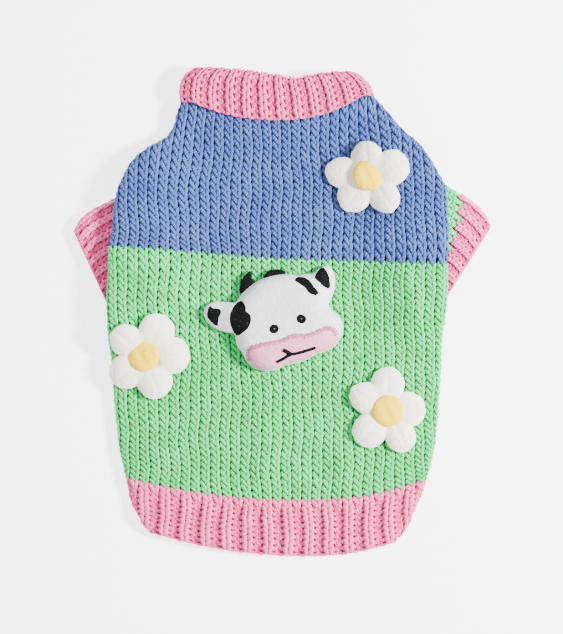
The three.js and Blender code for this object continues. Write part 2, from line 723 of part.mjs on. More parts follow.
function cow() {
  const cloth = (x, y) => clothTop(x, y) + REST;
  const [muzzleX, muzzleY] = cowPoint(MUZZLE_AT.x, MUZZLE_AT.y);
  const muzzlePlace = { x: muzzleX, y: muzzleY, turn: COW.turn };
  const face = (x, y) => {
    const [u, v] = turned(x - COW.x, y - COW.y, -COW.turn);
    return cloth(x, y) + cowHeight(u, v) + REST;
  };
  const lip = (u, v) => MUZZLE_AT.edge + puff(COW_MUZZLE, u, v);
  return [
    piece('cow_head', WHITE, ovalPad(COW_HEAD, COW.columns, COW, COW.hub, cloth, cowHeight)),
    piece('cow_muzzle', PINK, ovalPad(COW_MUZZLE, 28, muzzlePlace, MUZZLE_AT.hub, face, lip)),
    ...COW_HORNS.map((horn) => piece(horn.name, BLACK, cowHorn(horn))),
  ];
}

const sweater = new THREE.Group();
sweater.add(collar(), ...body(), ...sleeves(), ...daisies(), ...cow());

export default sweater;
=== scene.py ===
"""Knitted dog sweater with a folded turtleneck, lying flat on its belly with the back up.

Sizes and places are in millimetres until a mesh is made. Cloth is worked out flat, as x across, v up
and out from its middle, and is then laid on the sweater's form.
"""

import math

import bmesh
import bpy
import numpy as np
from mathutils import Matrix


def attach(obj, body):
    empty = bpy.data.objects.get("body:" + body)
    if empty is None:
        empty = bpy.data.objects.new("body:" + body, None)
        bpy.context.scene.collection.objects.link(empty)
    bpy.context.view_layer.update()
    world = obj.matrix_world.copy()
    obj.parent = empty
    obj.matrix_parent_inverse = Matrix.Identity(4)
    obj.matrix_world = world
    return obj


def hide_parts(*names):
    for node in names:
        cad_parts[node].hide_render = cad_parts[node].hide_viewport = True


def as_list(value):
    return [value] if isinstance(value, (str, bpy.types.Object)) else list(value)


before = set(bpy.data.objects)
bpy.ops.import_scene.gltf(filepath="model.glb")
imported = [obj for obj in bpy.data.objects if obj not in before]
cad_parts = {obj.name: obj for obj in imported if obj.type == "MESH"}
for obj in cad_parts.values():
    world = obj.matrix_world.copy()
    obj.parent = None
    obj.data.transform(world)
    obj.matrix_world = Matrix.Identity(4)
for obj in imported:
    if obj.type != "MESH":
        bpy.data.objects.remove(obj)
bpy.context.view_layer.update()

MM = 0.001

# Cloth
WALL = 3.0
PLY_GAP = 0.6
SEAM = 0.3
REST = 0.5
FOLD = WALL + PLY_GAP / 2
TUBE = 2 * FOLD
MIDDLE = FOLD - WALL / 2  # radius of the cloth's middle where it turns over
TURN_SCALE = 2.8  # length of cloth that goes round the turn, for each radian
SHELL_IN, SHELL_OUT = -1.5, -0.95  # dark shell behind the yarn, out from the cloth's middle; its colour is painted shade between the loops


def table(columns, rows):
    """Rows of a table as one array for each named column."""
    return {name: np.array([row[i] for row in rows]) for i, name in enumerate(columns.split())}


# Rows of the flattened body and of the folded collar, as in the part's own tables
ROW_COLUMNS = "left_x left_y mid_x back_y right_x right_y cusp strip belly_y"
BODY = table(
    ROW_COLUMNS,
    [
        (-55, 103, 0, 94, 54, 104.5, 0, 14, 100.5),  # neck base
        (-56.5, 97, 0, 89, 59, 98, 0, 14, 95),
        (-60.5, 90.5, 0, 83.5, 64.5, 92, 0, 14, 90),
        (-69.5, 85, 0, 78.5, 71, 86.5, 0, 14, 85),
        (-77.5, 78.5, 0, 73, 76.5, 79, 0, 14.5, 78.5),
        (-82.5, 70, 0, 66, 81, 71, 0, 15, 71),
        (-85.5, 63, 0, 59.5, 84.5, 64, 0, 15, 64),
        (-87.5, 52.5, 0, 49, 85.5, 53.5, 0, 15, 54),
        (-88.5, 41, -5, 37, 86, 39.5, 0.3, 15, 43),
        (-90, 33.5, -10, 27.5, 85.5, 24.5, 0.6, 15.5, 34.5),  # stripe
        (-90.5, 18.5, -5, 14.5, 85.5, 12, 0.3, 16, 22.5),
        (-91, 3, 0, -1, 84.5, -2, 0, 16.5, 9),
        (-90.5, -12.5, 0, -16.5, 83, -16.5, 0, 17, -4.5),
        (-89, -28, 0, -32, 82.5, -31, 0, 18, -18),
        (-88, -43.5, 0, -48, 81.5, -46, 0, 19, -31),
        (-86.5, -59.5, 5, -63.5, 80.5, -60.5, 0, 20, -43.5),
        (-84.5, -73.5, 10, -80, 78.5, -75, 0, 21, -54),
        (-81.5, -87, 12, -98, 75, -88, 0, 22, -63),  # top of the rib
        (-79, -98.5, 14, -108.5, 71, -99.5, 0, 22, -72.5),
        (-75.5, -107, 15, -118, 66.5, -110, 0, 22, -81),
        (-69, -115.5, 15, -127, 59, -120.5, 0, 21, -89),  # hem
    ],
)
COLLAR = table(
    ROW_COLUMNS,
    [
        (-54.3, 108.2, -2, 98.5, 48.9, 111.6, 0, 14, 103),  # cast-off edge
        (-54.6, 112.6, 0, 104, 48, 114, 0.2, 14, 106.5),
        (-54.2, 117, 2, 109.5, 46.7, 116.8, 0.4, 14, 110),
        (-52.6, 121.3, 4, 115, 44.2, 120, 0.7, 14, 113.5),
        (-47, 126.3, 6.5, 120.6, 39, 124.2, 1, 14, 116.5),  # fold
    ],
)
NECK_ROWS = 2  # rows of the neck inside the collar, which stand before the body's own
STRIPE_ROW, RIB_ROW = NECK_ROWS + 9, NECK_ROWS + 17
ROW_BOW = 2.2  # how a row curves up towards the sides
NECK_SEAM = 0.45  # where the body ends below the flap, as a share of the collar's height
NECK_HOLD = 1  # the body is held up for this far below the flap
NECK_SLOPE = 24  # and has come down to the floor by this far below it
NECK_EASE = 1.8  # how far the neck widens again by the collar's cast-off edge, at each side
COLLAR_HEIGHT = 21  # from the cast-off edge to the fold
COLLAR_TURN = (WALL + SEAM / 2) / COLLAR_HEIGHT  # share of its height that the fold on top takes

# Sleeves, from the side seam to the cuff's edge
SLEEVES = {
    "left": dict(
        outwards=-1, root_top=67.5, root_low=8, end_top=(-111.2, 47.5), end_low=(-90, 1.5), cuff_from=0.44
    ),
    "right": dict(
        outwards=1, root_top=80, root_low=11, end_top=(112, 49.5), end_low=(83.5, 4.5), cuff_from=0.635
    ),
}
SLEEVE_CORNER = 0.1  # share of the cuff's width that its upper corner is rounded off by
SLEEVE_CORNER_FROM = 0.65  # share of the sleeve's length where that corner starts
RIB_RISE = 0.9
SLEEVE_LIFT = TUBE + RIB_RISE + SEAM  # what lies over a sleeve is held this far off the floor
SLEEVE_MARGIN = 3  # and stays up for this far past the sleeve's edge
SLEEVE_SLOPE = 34  # before it comes down to the floor over this length

SOFT_FOLDS = [
    # x, y, length, width, height, turn
    (-9, -74, 42, 13, 2.1, 87),
    (-64, -78, 30, 17, 1.6, 62),
    (32, -84, 26, 11, 1.8, 93),
    (-38, 62, 30, 12, 0.7, 40),
    (67, 4, 30, 9, 1.4, 98),
]
FOLD_FALL = 3  # how fast a soft fold falls away to its ends and sides

# Knitting
WALE = 5.28  # width of one column of stitches
COURSE = 3.43  # height of one row of stitches
YARN = 0.98  # radius of the yarn
YARN_HEIGHT = 0.68  # soft yarn lies flattened: its height as a share of its width
LOOP_HEIGHT = 0.86  # half the height of a loop, in courses
LOOP_WIDTH = 0.24  # how far a loop's legs swing, in wales
LOOP_CLOSE = 0.05  # how far a loop's two legs lie towards each other, in wales
LOOP_DEPTH = 0.7  # how far a loop comes forward and goes back
LOOP_SKEW = 0.3  # how far the legs lean to one side
COLLAR_WALES, CUFF_WALES = 20, 14  # across the flat of each, two for each rib
COLLAR_WALE, CUFF_WALE = 4.75, 3.45
COLLAR_SIDE_WALES = 4  # round each side of the collar
COLLAR_ROUND = 2 * (COLLAR_WALES + COLLAR_SIDE_WALES)
CUFF_COURSE = 2.95
HEM_COURSES, BELLY_HEM_COURSES = 9, 8
PLAIN_BASE, SLEEVE_BASE = 0.12, 0.1  # how far plain stitches lie out from the cloth's middle
RIB_KNIT = dict(width=1.2, base=0.8, swing=0.66)
RIB_PURL = dict(width=0.8, base=-0.7, swing=-0.32)
RIB_SWING = 0.17  # how far a rib's legs swing, in wales
RIB_YARN, CUFF_YARN = 1.18, 0.95
RIB_DEEPENS = 0.4  # share of its full depth that the hem's rib gains with each course
COLLAR_DEPTH, CUFF_DEPTH, BELLY_HEM_DEPTH = 0.65, 0.65, 0.3  # of their ribs, as shares of the hem's
FLAT_SIDE = 0.7  # how much of the hem's rib depth goes round its two sides
FLAT_END, FLAT_FOLD = 0.6, 0.75  # how much of the collar's goes at its two ends and over its fold
FOLD_REACH = 1.6  # how far from the fold that is, in courses
FIRST_REACH = 0.78  # how far a new colour's first loops go up into the last ones, of a loop's own height
RIB_OVERLAP = 0.4  # how far the cuff's first course comes over the sleeve's last one, in courses
RIB_INSET = 0.85  # how far ribs turn short of the cloth's sides, since their yarn stands out from it
EDGE_INSET = 2.0  # how far the last course of ribs ends short of the cloth's edge
YOKE_START = 1.0  # how far below the neck seam the yoke's first course starts
COLLAR_START = 0.85  # place of the collar's first course above its cast-off edge, in courses
CHAIN_INSET, CHAIN_YARN = 1.05, 0.85  # place of a bound edge's yarn in from the cloth's edge, and its radius
CHAIN_RISE = 0.6  # how far a bound edge rises over each rib
CHAIN_DIP, COLLAR_DIP = 0.25, 1.0  # how far it dips at each wale
FLOOR_PRESS = 0.6  # yarn below this height is pressed flatter by the floor
UNEVEN = 0.13  # how much loops differ from each other
WAVERS = [(0.5, 9.5, 21), (0.35, 4.1, -13)]  # how wales waver: how far, and lengths down and across
DRAW_IN, DRAW_DEPTH = 0.09, 45  # how much wales draw together at the neck, and from what depth

# Counts of faces and points
SIDES = 6  # round the yarn
SAMPLES, HIDDEN_SAMPLES = 12, 8  # along each loop, where it shows and on the belly
CHAIN_SAMPLES, THREAD_SAMPLES = 10, 6
YOKE_ROWS, LOWER_ROWS, HEM_ROWS, BELLY_ROWS, BELLY_HEM_ROWS = 40, 50, 14, 40, 12
SLEEVE_ROWS, COLLAR_ROWS = 10, 24
SLEEVE_COLUMNS, COLLAR_COLUMNS, BELLY_COLUMNS = 72, 140, 30
STRIP_SPANS, TURN_SPANS, FLAT_SPANS = 3, 6, 44  # across the strip below, round the turn, and over the top
PETAL_RAYS, CENTRE_RAYS, COW_RAYS, DOT_RAYS = 240, 72, 420, 9
PETAL_RINGS, CENTRE_RINGS, HEAD_RINGS, MUZZLE_RINGS, PATCH_RINGS, HORN_RINGS = 30, 18, 40, 18, 14, 8
OUTLINE_STEPS = 8  # between two places of a motif's outline


# Form of the sweater


def smooth_at(values, place):
    """Values of a column at fractional places, on a smooth curve through its rows."""
    last = len(values) - 1
    start = np.clip(np.floor(place).astype(int), 0, last - 1)
    t = place - start
    a, b, c, d = (values[np.clip(start + k, 0, last)] for k in (-1, 0, 1, 2))
    square, cube = t * t, t * t * t
    return (
        (2 * cube - 3 * square + 1) * b
        + (cube - 2 * square + t) * (c - a) / 2
        + (3 * square - 2 * cube) * c
        + (cube - square) * (d - b) / 2
    )


def row_at(rows, place):
    place = np.asarray(place, dtype=float)
    return {name: smooth_at(values, place) for name, values in rows.items()}


def smoothstep(x, start, end):
    t = np.clip((x - start) / (end - start), 0, 1)
    return t * t * (3 - 2 * t)


def turned(x, y, degrees):
    angle = math.radians(degrees)
    return x * math.cos(angle) - y * math.sin(angle), x * math.sin(angle) + y * math.cos(angle)


def rays(count):
    """Directions all round, evenly spaced."""
    return np.arange(count) * 2 * np.pi / count


def collar_row(share):
    """Row of the collar, as wide as the neck inside it."""
    row = row_at(COLLAR, np.asarray(share) * (len(COLLAR["left_x"]) - 1))
    row["left_x"] = row["left_x"] + FOLD
    row["right_x"] = row["right_x"] - FOLD
    return row


def with_neck(body):
    """The body's rows with the neck's two rows inside the collar before them."""
    neck = collar_row([NECK_SEAM, 0.0])
    neck["left_x"] = neck["left_x"] - [0, NECK_EASE]
    neck["right_x"] = neck["right_x"] + [0, NECK_EASE]
    return {name: np.concatenate([neck[name], body[name]]) for name in body}


def back_y(row, x):
    left, right = row["left_x"] + FOLD, row["right_x"] - FOLD
    before = x < row["mid_x"]
    edge_x, edge_y = np.where(before, left, right), np.where(before, row["left_y"], row["right_y"])
    t = np.clip(np.abs((x - row["mid_x"]) / (edge_x - row["mid_x"])), 0, 1)
    bend = (1 - row["cusp"]) * t**ROW_BOW + row["cusp"] * (1 - (1 - t) ** 2)
    return row["back_y"] + (edge_y - row["back_y"]) * bend


def belly_y(row, x):
    left, right = row["left_x"] + FOLD, row["right_x"] - FOLD
    middle = (left + right) / 2
    edge_y = np.where(x < middle, row["left_y"], row["right_y"])
    t = np.clip(np.abs((x - middle) / (right - middle)), 0, 1)
    return row["belly_y"] + (edge_y - row["belly_y"]) * t**2


STATIONS = with_neck(BODY)
STATION_PLACES = np.arange(len(STATIONS["back_y"]))
BACK_DEPTHS = STATIONS["back_y"][0] - STATIONS["back_y"]
BELLY_DEPTHS = STATIONS["belly_y"][0] - STATIONS["belly_y"]


def back_row(depth):
    """Row at a depth below the neck seam, measured down the back."""
    return row_at(STATIONS, np.interp(depth, BACK_DEPTHS, STATION_PLACES))


def belly_row(depth):
    """Row at a depth below the neck seam, measured down the belly."""
    return row_at(STATIONS, np.interp(depth, BELLY_DEPTHS, STATION_PLACES))


def seam_x(sleeve, y):
    """Side seam's place at a height, on the inner edge of the strip that the back turns under."""
    if sleeve["outwards"] < 0:
        x = BODY["left_x"] + BODY["strip"]
    else:
        x = BODY["right_x"] - BODY["strip"]
    heights = belly_y(BODY, x)
    return np.interp(y, heights[::-1], x[::-1]) + 2 * sleeve["outwards"] * SEAM


def sleeve_spot(sleeve, along, across):
    """Place on a flattened sleeve: along from its root to the cuff's edge, across from its upper side."""
    y = sleeve["root_top"] + (sleeve["root_low"] - sleeve["root_top"]) * across
    root = np.stack([seam_x(sleeve, y), y], axis=-1)
    top, low = np.array(sleeve["end_top"]), np.array(sleeve["end_low"])
    end = top + (low - top) * np.asarray(across)[..., None]
    return root + (end - root) * np.asarray(along)[..., None]


def outline_of(sleeve):
    down = np.linspace(0, 1, 9)
    root = sleeve_spot(sleeve, np.zeros_like(down), down)
    end = sleeve_spot(sleeve, np.ones_like(down), down[::-1])
    return np.concatenate([root, end])


SLEEVE_OUTLINES = [outline_of(sleeve) for sleeve in SLEEVES.values()]


def distance_to(outline, x, y):
    """Distance from points to a closed outline, zero inside it."""
    inside = np.zeros(np.shape(x), dtype=bool)
    nearest = np.full(np.shape(x), np.inf)
    for (ax, ay), (bx, by) in zip(outline, np.roll(outline, -1, axis=0)):
        if ay != by:
            crosses = ((ay > y) != (by > y)) & (x < ax + (bx - ax) * (y - ay) / (by - ay))
            inside ^= crosses
        dx, dy = bx - ax, by - ay
        t = np.clip(((x - ax) * dx + (y - ay) * dy) / (dx**2 + dy**2), 0, 1)
        nearest = np.minimum(nearest, np.hypot(x - ax - t * dx, y - ay - t * dy))
    return np.where(inside, 0, nearest)


def neck_lift(distance):
    return FOLD * (1 - smoothstep(distance, NECK_HOLD, NECK_SLOPE))


def sleeve_lift(x, y):
    gap = np.minimum(*(distance_to(outline, x, y) for outline in SLEEVE_OUTLINES))
    return SLEEVE_LIFT * (1 - smoothstep(gap, SLEEVE_MARGIN, SLEEVE_MARGIN + SLEEVE_SLOPE))


def back_lift(x, y):
    return np.maximum(neck_lift(back_y(collar_row(0.0), x) - y), sleeve_lift(x, y))


def belly_lift(x, y):
    return neck_lift(belly_y(collar_row(0.0), x) - y)


def soft_folds(x, y):
    total = 0
    for fold_x, fold_y, length, width, height, turn in SOFT_FOLDS:
        along, across = turned(x - fold_x, y - fold_y, -turn)
        fall = FOLD_FALL * (along / length) ** 2 + FOLD_FALL * (across / width) ** 2
        total = total + height * np.exp(-fall)
    return total


def back_top(x, y):
    """Top of the back's cloth."""
    x, y = np.asarray(x, dtype=float), np.asarray(y, dtype=float)
    return TUBE + back_lift(x, y) + soft_folds(x, y)


def pressed(z):
    """Heights kept above nothing: what would pass below is pressed flat."""
    return np.where(z < FLOOR_PRESS, FLOOR_PRESS * np.exp(np.minimum(z / FLOOR_PRESS - 1, 0)), z)


def drawn_in(x, v):
    """Wales waver a little, and draw together towards the neck."""
    wave = sum(amount * np.sin(v / down + x / across) for amount, down, across in WAVERS)
    return x * (1 - DRAW_IN * smoothstep(v, -DRAW_DEPTH, 0)) + wave


def on_back(x, v, out):
    """Place of the turned back's cloth: v is measured up from the neck seam, so it is negative."""
    depth = np.clip(-v, 0, BACK_DEPTHS[-1])
    row = back_row(depth)
    turn_x = np.clip(x, row["left_x"] + FOLD, row["right_x"] - FOLD)
    side = np.sign(x - turn_x)
    past = np.abs(x - turn_x)
    angle = np.clip(past / TURN_SCALE, 0, np.pi)
    under = np.maximum(past - np.pi * TURN_SCALE, 0)
    radius = MIDDLE + out
    spot_x = turn_x - side * under
    spot_y = np.where(under > 0, belly_y(row, spot_x), back_y(row, turn_x))
    over = back_lift(turn_x, spot_y) + soft_folds(spot_x, spot_y) * (angle == 0)
    below = np.maximum(belly_lift(spot_x, spot_y), sleeve_lift(spot_x, spot_y))
    z = np.where(under > 0, below, over) + FOLD + radius * np.cos(angle)
    return np.stack([spot_x + side * radius * np.sin(angle), spot_y - (-v - depth), pressed(z)], axis=-1)


def on_belly(x, v, out):
    """Place of the belly's cloth, whose outer face lies on the floor."""
    depth = np.clip(-v, 0, BELLY_DEPTHS[-1])
    row = belly_row(depth)
    y = belly_y(row, x)
    return np.stack([x, y - (-v - depth), pressed(belly_lift(x, y) + WALL / 2 - out)], axis=-1)


def on_sleeve(sleeve, around, along, out):
    """Place of a sleeve's cloth: around goes over the top from its upper edge and back below."""
    rounding = np.maximum((along - SLEEVE_CORNER_FROM) / (1 - SLEEVE_CORNER_FROM), 0)
    corner = SLEEVE_CORNER * rounding**2
    width = np.linalg.norm(
        sleeve_spot(sleeve, along, np.ones_like(along)) - sleeve_spot(sleeve, along, corner), axis=-1
    )
    turn = TURN_SCALE * np.pi / 2 / width  # share of the round that half a turn takes
    lap = np.mod(around / (CUFF_WALES * CUFF_WALE), 2)
    top = lap < 1
    share = np.where(top, lap, 2 - lap)
    flat = np.clip((share - turn) / (1 - 2 * turn), 0, 1)
    past = np.where(share < turn, turn - share, np.maximum(share - (1 - turn), 0)) / turn
    angle = past * np.pi / 2
    edge = np.where(share < 0.5, 1, -1)
    inset = (FOLD + RIB_INSET) / width
    across = corner + (1 - corner) * (inset + (1 - 2 * inset) * flat)
    spot = sleeve_spot(sleeve, along, across)
    upper, lower = sleeve_spot(sleeve, along, corner), sleeve_spot(sleeve, along, np.ones_like(along))
    outwards = (upper - lower) / width[..., None]
    radius = MIDDLE + out
    flat_spot = spot + outwards * (edge * radius * np.sin(angle))[..., None]
    z = pressed(FOLD + np.where(top, 1, -1) * radius * np.cos(angle))
    return np.concatenate([flat_spot, z[..., None]], axis=-1)


def on_collar(around, height, out):
    """Place of the folded collar's cloth.

    around goes over the top, round the right side, below and round the left side. height is measured
    from the cast-off edge up the flap, over the fold and down inside the neck.
    """
    lap = np.mod(around / COLLAR_WALE, COLLAR_ROUND)
    flap_height = (1 - COLLAR_TURN) * COLLAR_HEIGHT
    over = np.clip((height - flap_height) / TURN_SCALE, 0, np.pi)
    inside = np.maximum(height - flap_height - np.pi * TURN_SCALE, 0)
    middle = FOLD + SEAM / 2
    radius = WALL / 2 + SEAM / 2 + out
    distance = middle + radius * np.cos(over)
    reached = np.minimum(height, flap_height) - inside + radius * np.sin(over)
    share = 1 - pressed(COLLAR_HEIGHT - reached) / COLLAR_HEIGHT
    row = collar_row(np.clip(share, -0.05, 1))
    left, right = row["left_x"] + FOLD + RIB_INSET, row["right_x"] - FOLD - RIB_INSET
    side = COLLAR_SIDE_WALES
    top = np.clip(lap / COLLAR_WALES, 0, 1)
    below = np.clip((lap - COLLAR_WALES - side) / COLLAR_WALES, 0, 1)
    on_top, on_right = lap <= COLLAR_WALES, (lap > COLLAR_WALES) & (lap < COLLAR_WALES + side)
    on_left = lap > 2 * COLLAR_WALES + side
    x = np.where(on_top | on_right, left + (right - left) * top, right + (left - right) * below)
    turn = np.where(on_right, (lap - COLLAR_WALES) / side, 0)
    turn = np.where(on_left, 1 - (lap - 2 * COLLAR_WALES - side) / side, turn)
    under = ~(on_top | on_right | on_left)
    angle = np.where(under, 1, turn) * np.pi
    sign = np.where(on_right, 1, -1)
    y = np.where(under, belly_y(row, x), back_y(row, x))
    z = pressed(TUBE + distance * np.cos(angle))
    return np.stack([x + sign * distance * np.sin(angle), y, z], axis=-1)


# Meshes


def new_piece(name, points, quads, uvs=None):
    """Mesh object from points in millimetres and quads, with its place in its mesh."""
    mesh = bpy.data.meshes.new(name)
    mesh.vertices.add(len(points))
    mesh.vertices.foreach_set("co", (np.asarray(points, dtype=np.float32) * MM).ravel())
    quads = np.asarray(quads, dtype=np.int32)
    mesh.loops.add(quads.size)
    mesh.loops.foreach_set("vertex_index", quads.ravel())
    mesh.polygons.add(len(quads))
    mesh.polygons.foreach_set("loop_start", np.arange(len(quads), dtype=np.int32) * 4)
    mesh.polygons.foreach_set("use_smooth", np.ones(len(quads), dtype=bool))
    if uvs is not None:
        layer = mesh.uv_layers.new(name="yarn")
        layer.data.foreach_set("uv", np.asarray(uvs, dtype=np.float32).ravel())
    mesh.update(calc_edges=True)
    mesh.validate()
    piece = bpy.data.objects.new(name, mesh)
    bpy.context.scene.collection.objects.link(piece)
    return piece


def grid_quads(rows, columns, closed_rows=False, closed_columns=False):
    i = np.arange(rows if closed_rows else rows - 1)[:, None]
    j = np.arange(columns if closed_columns else columns - 1)[None, :]
    next_i, next_j = (i + 1) % rows, (j + 1) % columns
    corners = [i * columns + j, i * columns + next_j, next_i * columns + next_j, next_i * columns + j]
    return np.stack(np.broadcast_arrays(*corners), axis=-1).reshape(-1, 4)


def facing_out(points, quads):
    """Quads turned so that the closed surface they make faces outwards."""
    a, b, c, d = (points[quads[:, k]] for k in range(4))
    volume = np.einsum("ij,ij->", a, np.cross(b - a, c - a) + np.cross(c - a, d - a))
    return quads if volume > 0 else quads[:, ::-1]


def yarn_tubes(name, paths, place, radius=YARN):
    """Yarn along paths given in the cloth's own coordinates, as one mesh of closed six-sided tubes."""
    angles = rays(SIDES)
    caps = [[0, 1, 2, 3], [0, 3, 4, 5]]
    points, quads, uvs, depths, count = [], [], [], [], 0
    for path in paths:
        ahead = np.gradient(path, axis=0)
        ahead /= np.linalg.norm(ahead, axis=1, keepdims=True)
        side = np.cross(ahead, (0, 0, 1.0))
        side /= np.linalg.norm(side, axis=1, keepdims=True)
        up = np.cross(side, ahead)
        rings = path[:, None] + radius * (
            np.cos(angles)[None, :, None] * side[:, None]
            + YARN_HEIGHT * np.sin(angles)[None, :, None] * up[:, None]
        )
        points.append(rings.reshape(-1, 3))
        depths.append(rings[..., 2].ravel())
        n = len(path)
        quads.append(grid_quads(n, SIDES, closed_columns=True)[:, ::-1] + count)
        last = count + (n - 1) * SIDES
        quads.append(np.array([[count + k for k in cap] for cap in caps]))
        quads.append(np.array([[last + k for k in cap[::-1]] for cap in caps]))
        length = np.concatenate([[0], np.cumsum(np.linalg.norm(np.diff(path, axis=0), axis=1))])
        i, j = np.divmod(np.arange((n - 1) * SIDES), SIDES)
        u0, u1, v0, v1 = length[i], length[i + 1], j / SIDES, (j + 1) / SIDES
        corner_u, corner_v = [u1, u1, u0, u0], [v0, v1, v1, v0]
        uvs.append(np.stack([np.stack(corner_u, 1), np.stack(corner_v, 1)], -1).reshape(-1, 2))
        uvs.append(np.zeros((2 * np.size(caps), 2)))
        count += n * SIDES
    flat = np.concatenate(points)
    laid = place(flat[:, 0], flat[:, 1], flat[:, 2])
    piece = new_piece(name, laid, np.concatenate(quads), np.concatenate(uvs))
    # height of each point in the cloth, which the yarn's painted shade reads
    layer = piece.data.attributes.new("depth", "FLOAT", "POINT")
    layer.data.foreach_set("value", np.concatenate(depths).astype(np.float32))
    return piece


def shade_shell(name, place, across, rows, closed=False):
    """Thin shell of cloth behind the yarn, over a grid in the cloth's own coordinates, dark as painted shade
    between the loops.
    """
    outer, inner = (place(across, rows, np.full(across.shape, out)) for out in (SHELL_OUT, SHELL_IN))
    n, m = outer.shape[:2]
    if closed:
        points = np.concatenate([outer, inner[::-1]]).reshape(-1, 3)
        quads = grid_quads(2 * n, m, closed_rows=True, closed_columns=True)
    else:
        points = np.concatenate([outer, inner[:, ::-1]], axis=1).reshape(-1, 3)
        quads = grid_quads(n, 2 * m, closed_columns=True)
        ends = []
        for row, turn in ((0, 1), (n - 1, -1)):
            j = np.arange(m - 1)
            end = np.stack([j + 1, j, 2 * m - 1 - j, 2 * m - 2 - j], axis=1) + row * 2 * m
            ends.append(end[:, ::turn])
        quads = np.concatenate([quads] + ends)
    return new_piece(name, points, facing_out(points, quads))


def area_of(place, across, rows):
    """Area of a cloth's middle in square metres."""
    points = place(across, rows, np.zeros(across.shape))
    down, right = np.diff(points, axis=0)[:, :-1], np.diff(points, axis=1)[:-1]
    return float(np.linalg.norm(np.cross(down, right), axis=-1).sum()) * MM * MM


# Knitting


chance = np.random.default_rng(11)


def uneven(count, samples):
    """Small smooth differences between loops along one course."""
    loops = chance.normal(0, UNEVEN, count + 1)
    t = np.arange(samples) / samples
    return (loops[:-1, None] * (1 - t) + loops[1:, None] * t).clip(-2 * UNEVEN, 2 * UNEVEN)


def loop_course(
    starts, widths, bases, depths, v, samples, swing=LOOP_WIDTH, skew=LOOP_SKEW, height=COURSE, reach=1.0
):
    """Line of one course through its loops, wale by wale, in the cloth's own coordinates."""
    t = np.arange(samples) * 2 * np.pi / samples
    across = t / (2 * np.pi) + swing * np.sin(2 * t) + LOOP_CLOSE * np.sin(t)
    y = -LOOP_HEIGHT * height * np.cos(t)
    y = np.where(y > 0, y * reach, y)
    x = starts[:, None] + widths[:, None] * across - skew * y + uneven(len(starts), samples)
    out = bases[:, None] - depths[:, None] * np.cos(2 * t) + uneven(len(starts), samples)
    y = v + y + uneven(len(starts), samples)
    return np.stack([x.ravel(), y.ravel(), out.ravel()], axis=-1)


def stocking_course(first, last, v, samples, reach=1.0):
    """Course of plain stitches between two wale numbers."""
    wales = np.arange(first, last + 1)
    ones = np.ones(len(wales))
    widths, bases, depths = ones * WALE, ones * PLAIN_BASE, ones * LOOP_DEPTH
    return loop_course(wales * WALE, widths, bases, depths, v, samples, reach=reach)


def rib_course(first, last, v, samples, wale, depth=1.0, height=COURSE, reach=1.0):
    """Course of single rib between two wale numbers, a raised knit wale and a sunk purl wale by turns."""
    kinds = [RIB_KNIT if k % 2 == 0 else RIB_PURL for k in range(first, last)]
    widths = np.array([kind["width"] for kind in kinds]) * wale
    first_inset = (1 - kinds[0]["width"]) / 2
    starts = (first + first_inset) * wale + np.concatenate([[0], np.cumsum(widths)[:-1]])
    bases = np.array([kind["base"] for kind in kinds]) * depth
    swings = np.array([kind["swing"] for kind in kinds])
    return loop_course(starts, widths, bases, swings, v, samples, RIB_SWING, 0.0, height, reach)


def side_limits(v):
    """First and last wale of a course that fit between the side seams, turned strips included."""
    row = back_row(-v)
    spare = np.pi * TURN_SCALE + float(row["strip"]) - FOLD
    first = math.ceil((float(row["left_x"]) + FOLD - spare) / WALE)
    last = math.floor((float(row["right_x"]) - FOLD + spare) / WALE) - 1
    return first, last


def on_drawn_back(x, v, out):
    return on_back(drawn_in(x, v), v, out)


def plain_panel(name, top, bottom, first_reach=1.0):
    """Plain knitting of the back from one depth to another, in whole courses."""
    courses = int(round((bottom - top) / COURSE))
    paths = []
    for i in range(courses):
        v = -(top + (i + 0.5) * (bottom - top) / courses)
        first, last = side_limits(v)
        paths.append(stocking_course(first, last, v, SAMPLES, first_reach if i == 0 else 1.0))
    return yarn_tubes(name, paths, on_drawn_back)


def edge_chain(first, last, wale, v, dip=CHAIN_DIP):
    """Line of a bound edge: it rises over each rib, and dips a little at each wale."""
    place = np.linspace(first, last, (last - first) * CHAIN_SAMPLES + 1)
    rib, stitch = np.cos(np.pi * (place - 0.5)), np.cos(2 * np.pi * place)
    return np.stack([place * wale, v - dip * stitch, CHAIN_RISE * rib], axis=-1)


def back_grid(top, bottom, rows):
    """Grid over the turned back between two depths, from seam to seam."""
    v = -np.linspace(top, bottom, rows)
    row = back_row(-v)
    round_turn, strip_width = np.pi * TURN_SCALE, row["strip"] - FOLD
    left, right = row["left_x"] + FOLD, row["right_x"] - FOLD
    strip = np.linspace(1, 0, STRIP_SPANS + 1)[:-1, None]
    turn = np.linspace(1, 0, TURN_SPANS + 1)[:-1, None]
    flat = np.linspace(0, 1, FLAT_SPANS + 1)[:, None]
    parts = [
        left - round_turn - strip * strip_width,
        left - turn * round_turn,
        left + flat * (right - left),
        right + turn[::-1] * round_turn,
        right + round_turn + strip[::-1] * strip_width,
    ]
    x = np.concatenate(parts).T
    return x, np.broadcast_to(v[:, None], x.shape)


# Materials


def linear(code):
    """Linear colour from a hexadecimal one."""
    values = [int(code[i : i + 2], 16) / 255 for i in (0, 2, 4)]
    return [v / 12.92 if v <= 0.04045 else ((v + 0.055) / 1.055) ** 2.4 for v in values] + [1.0]


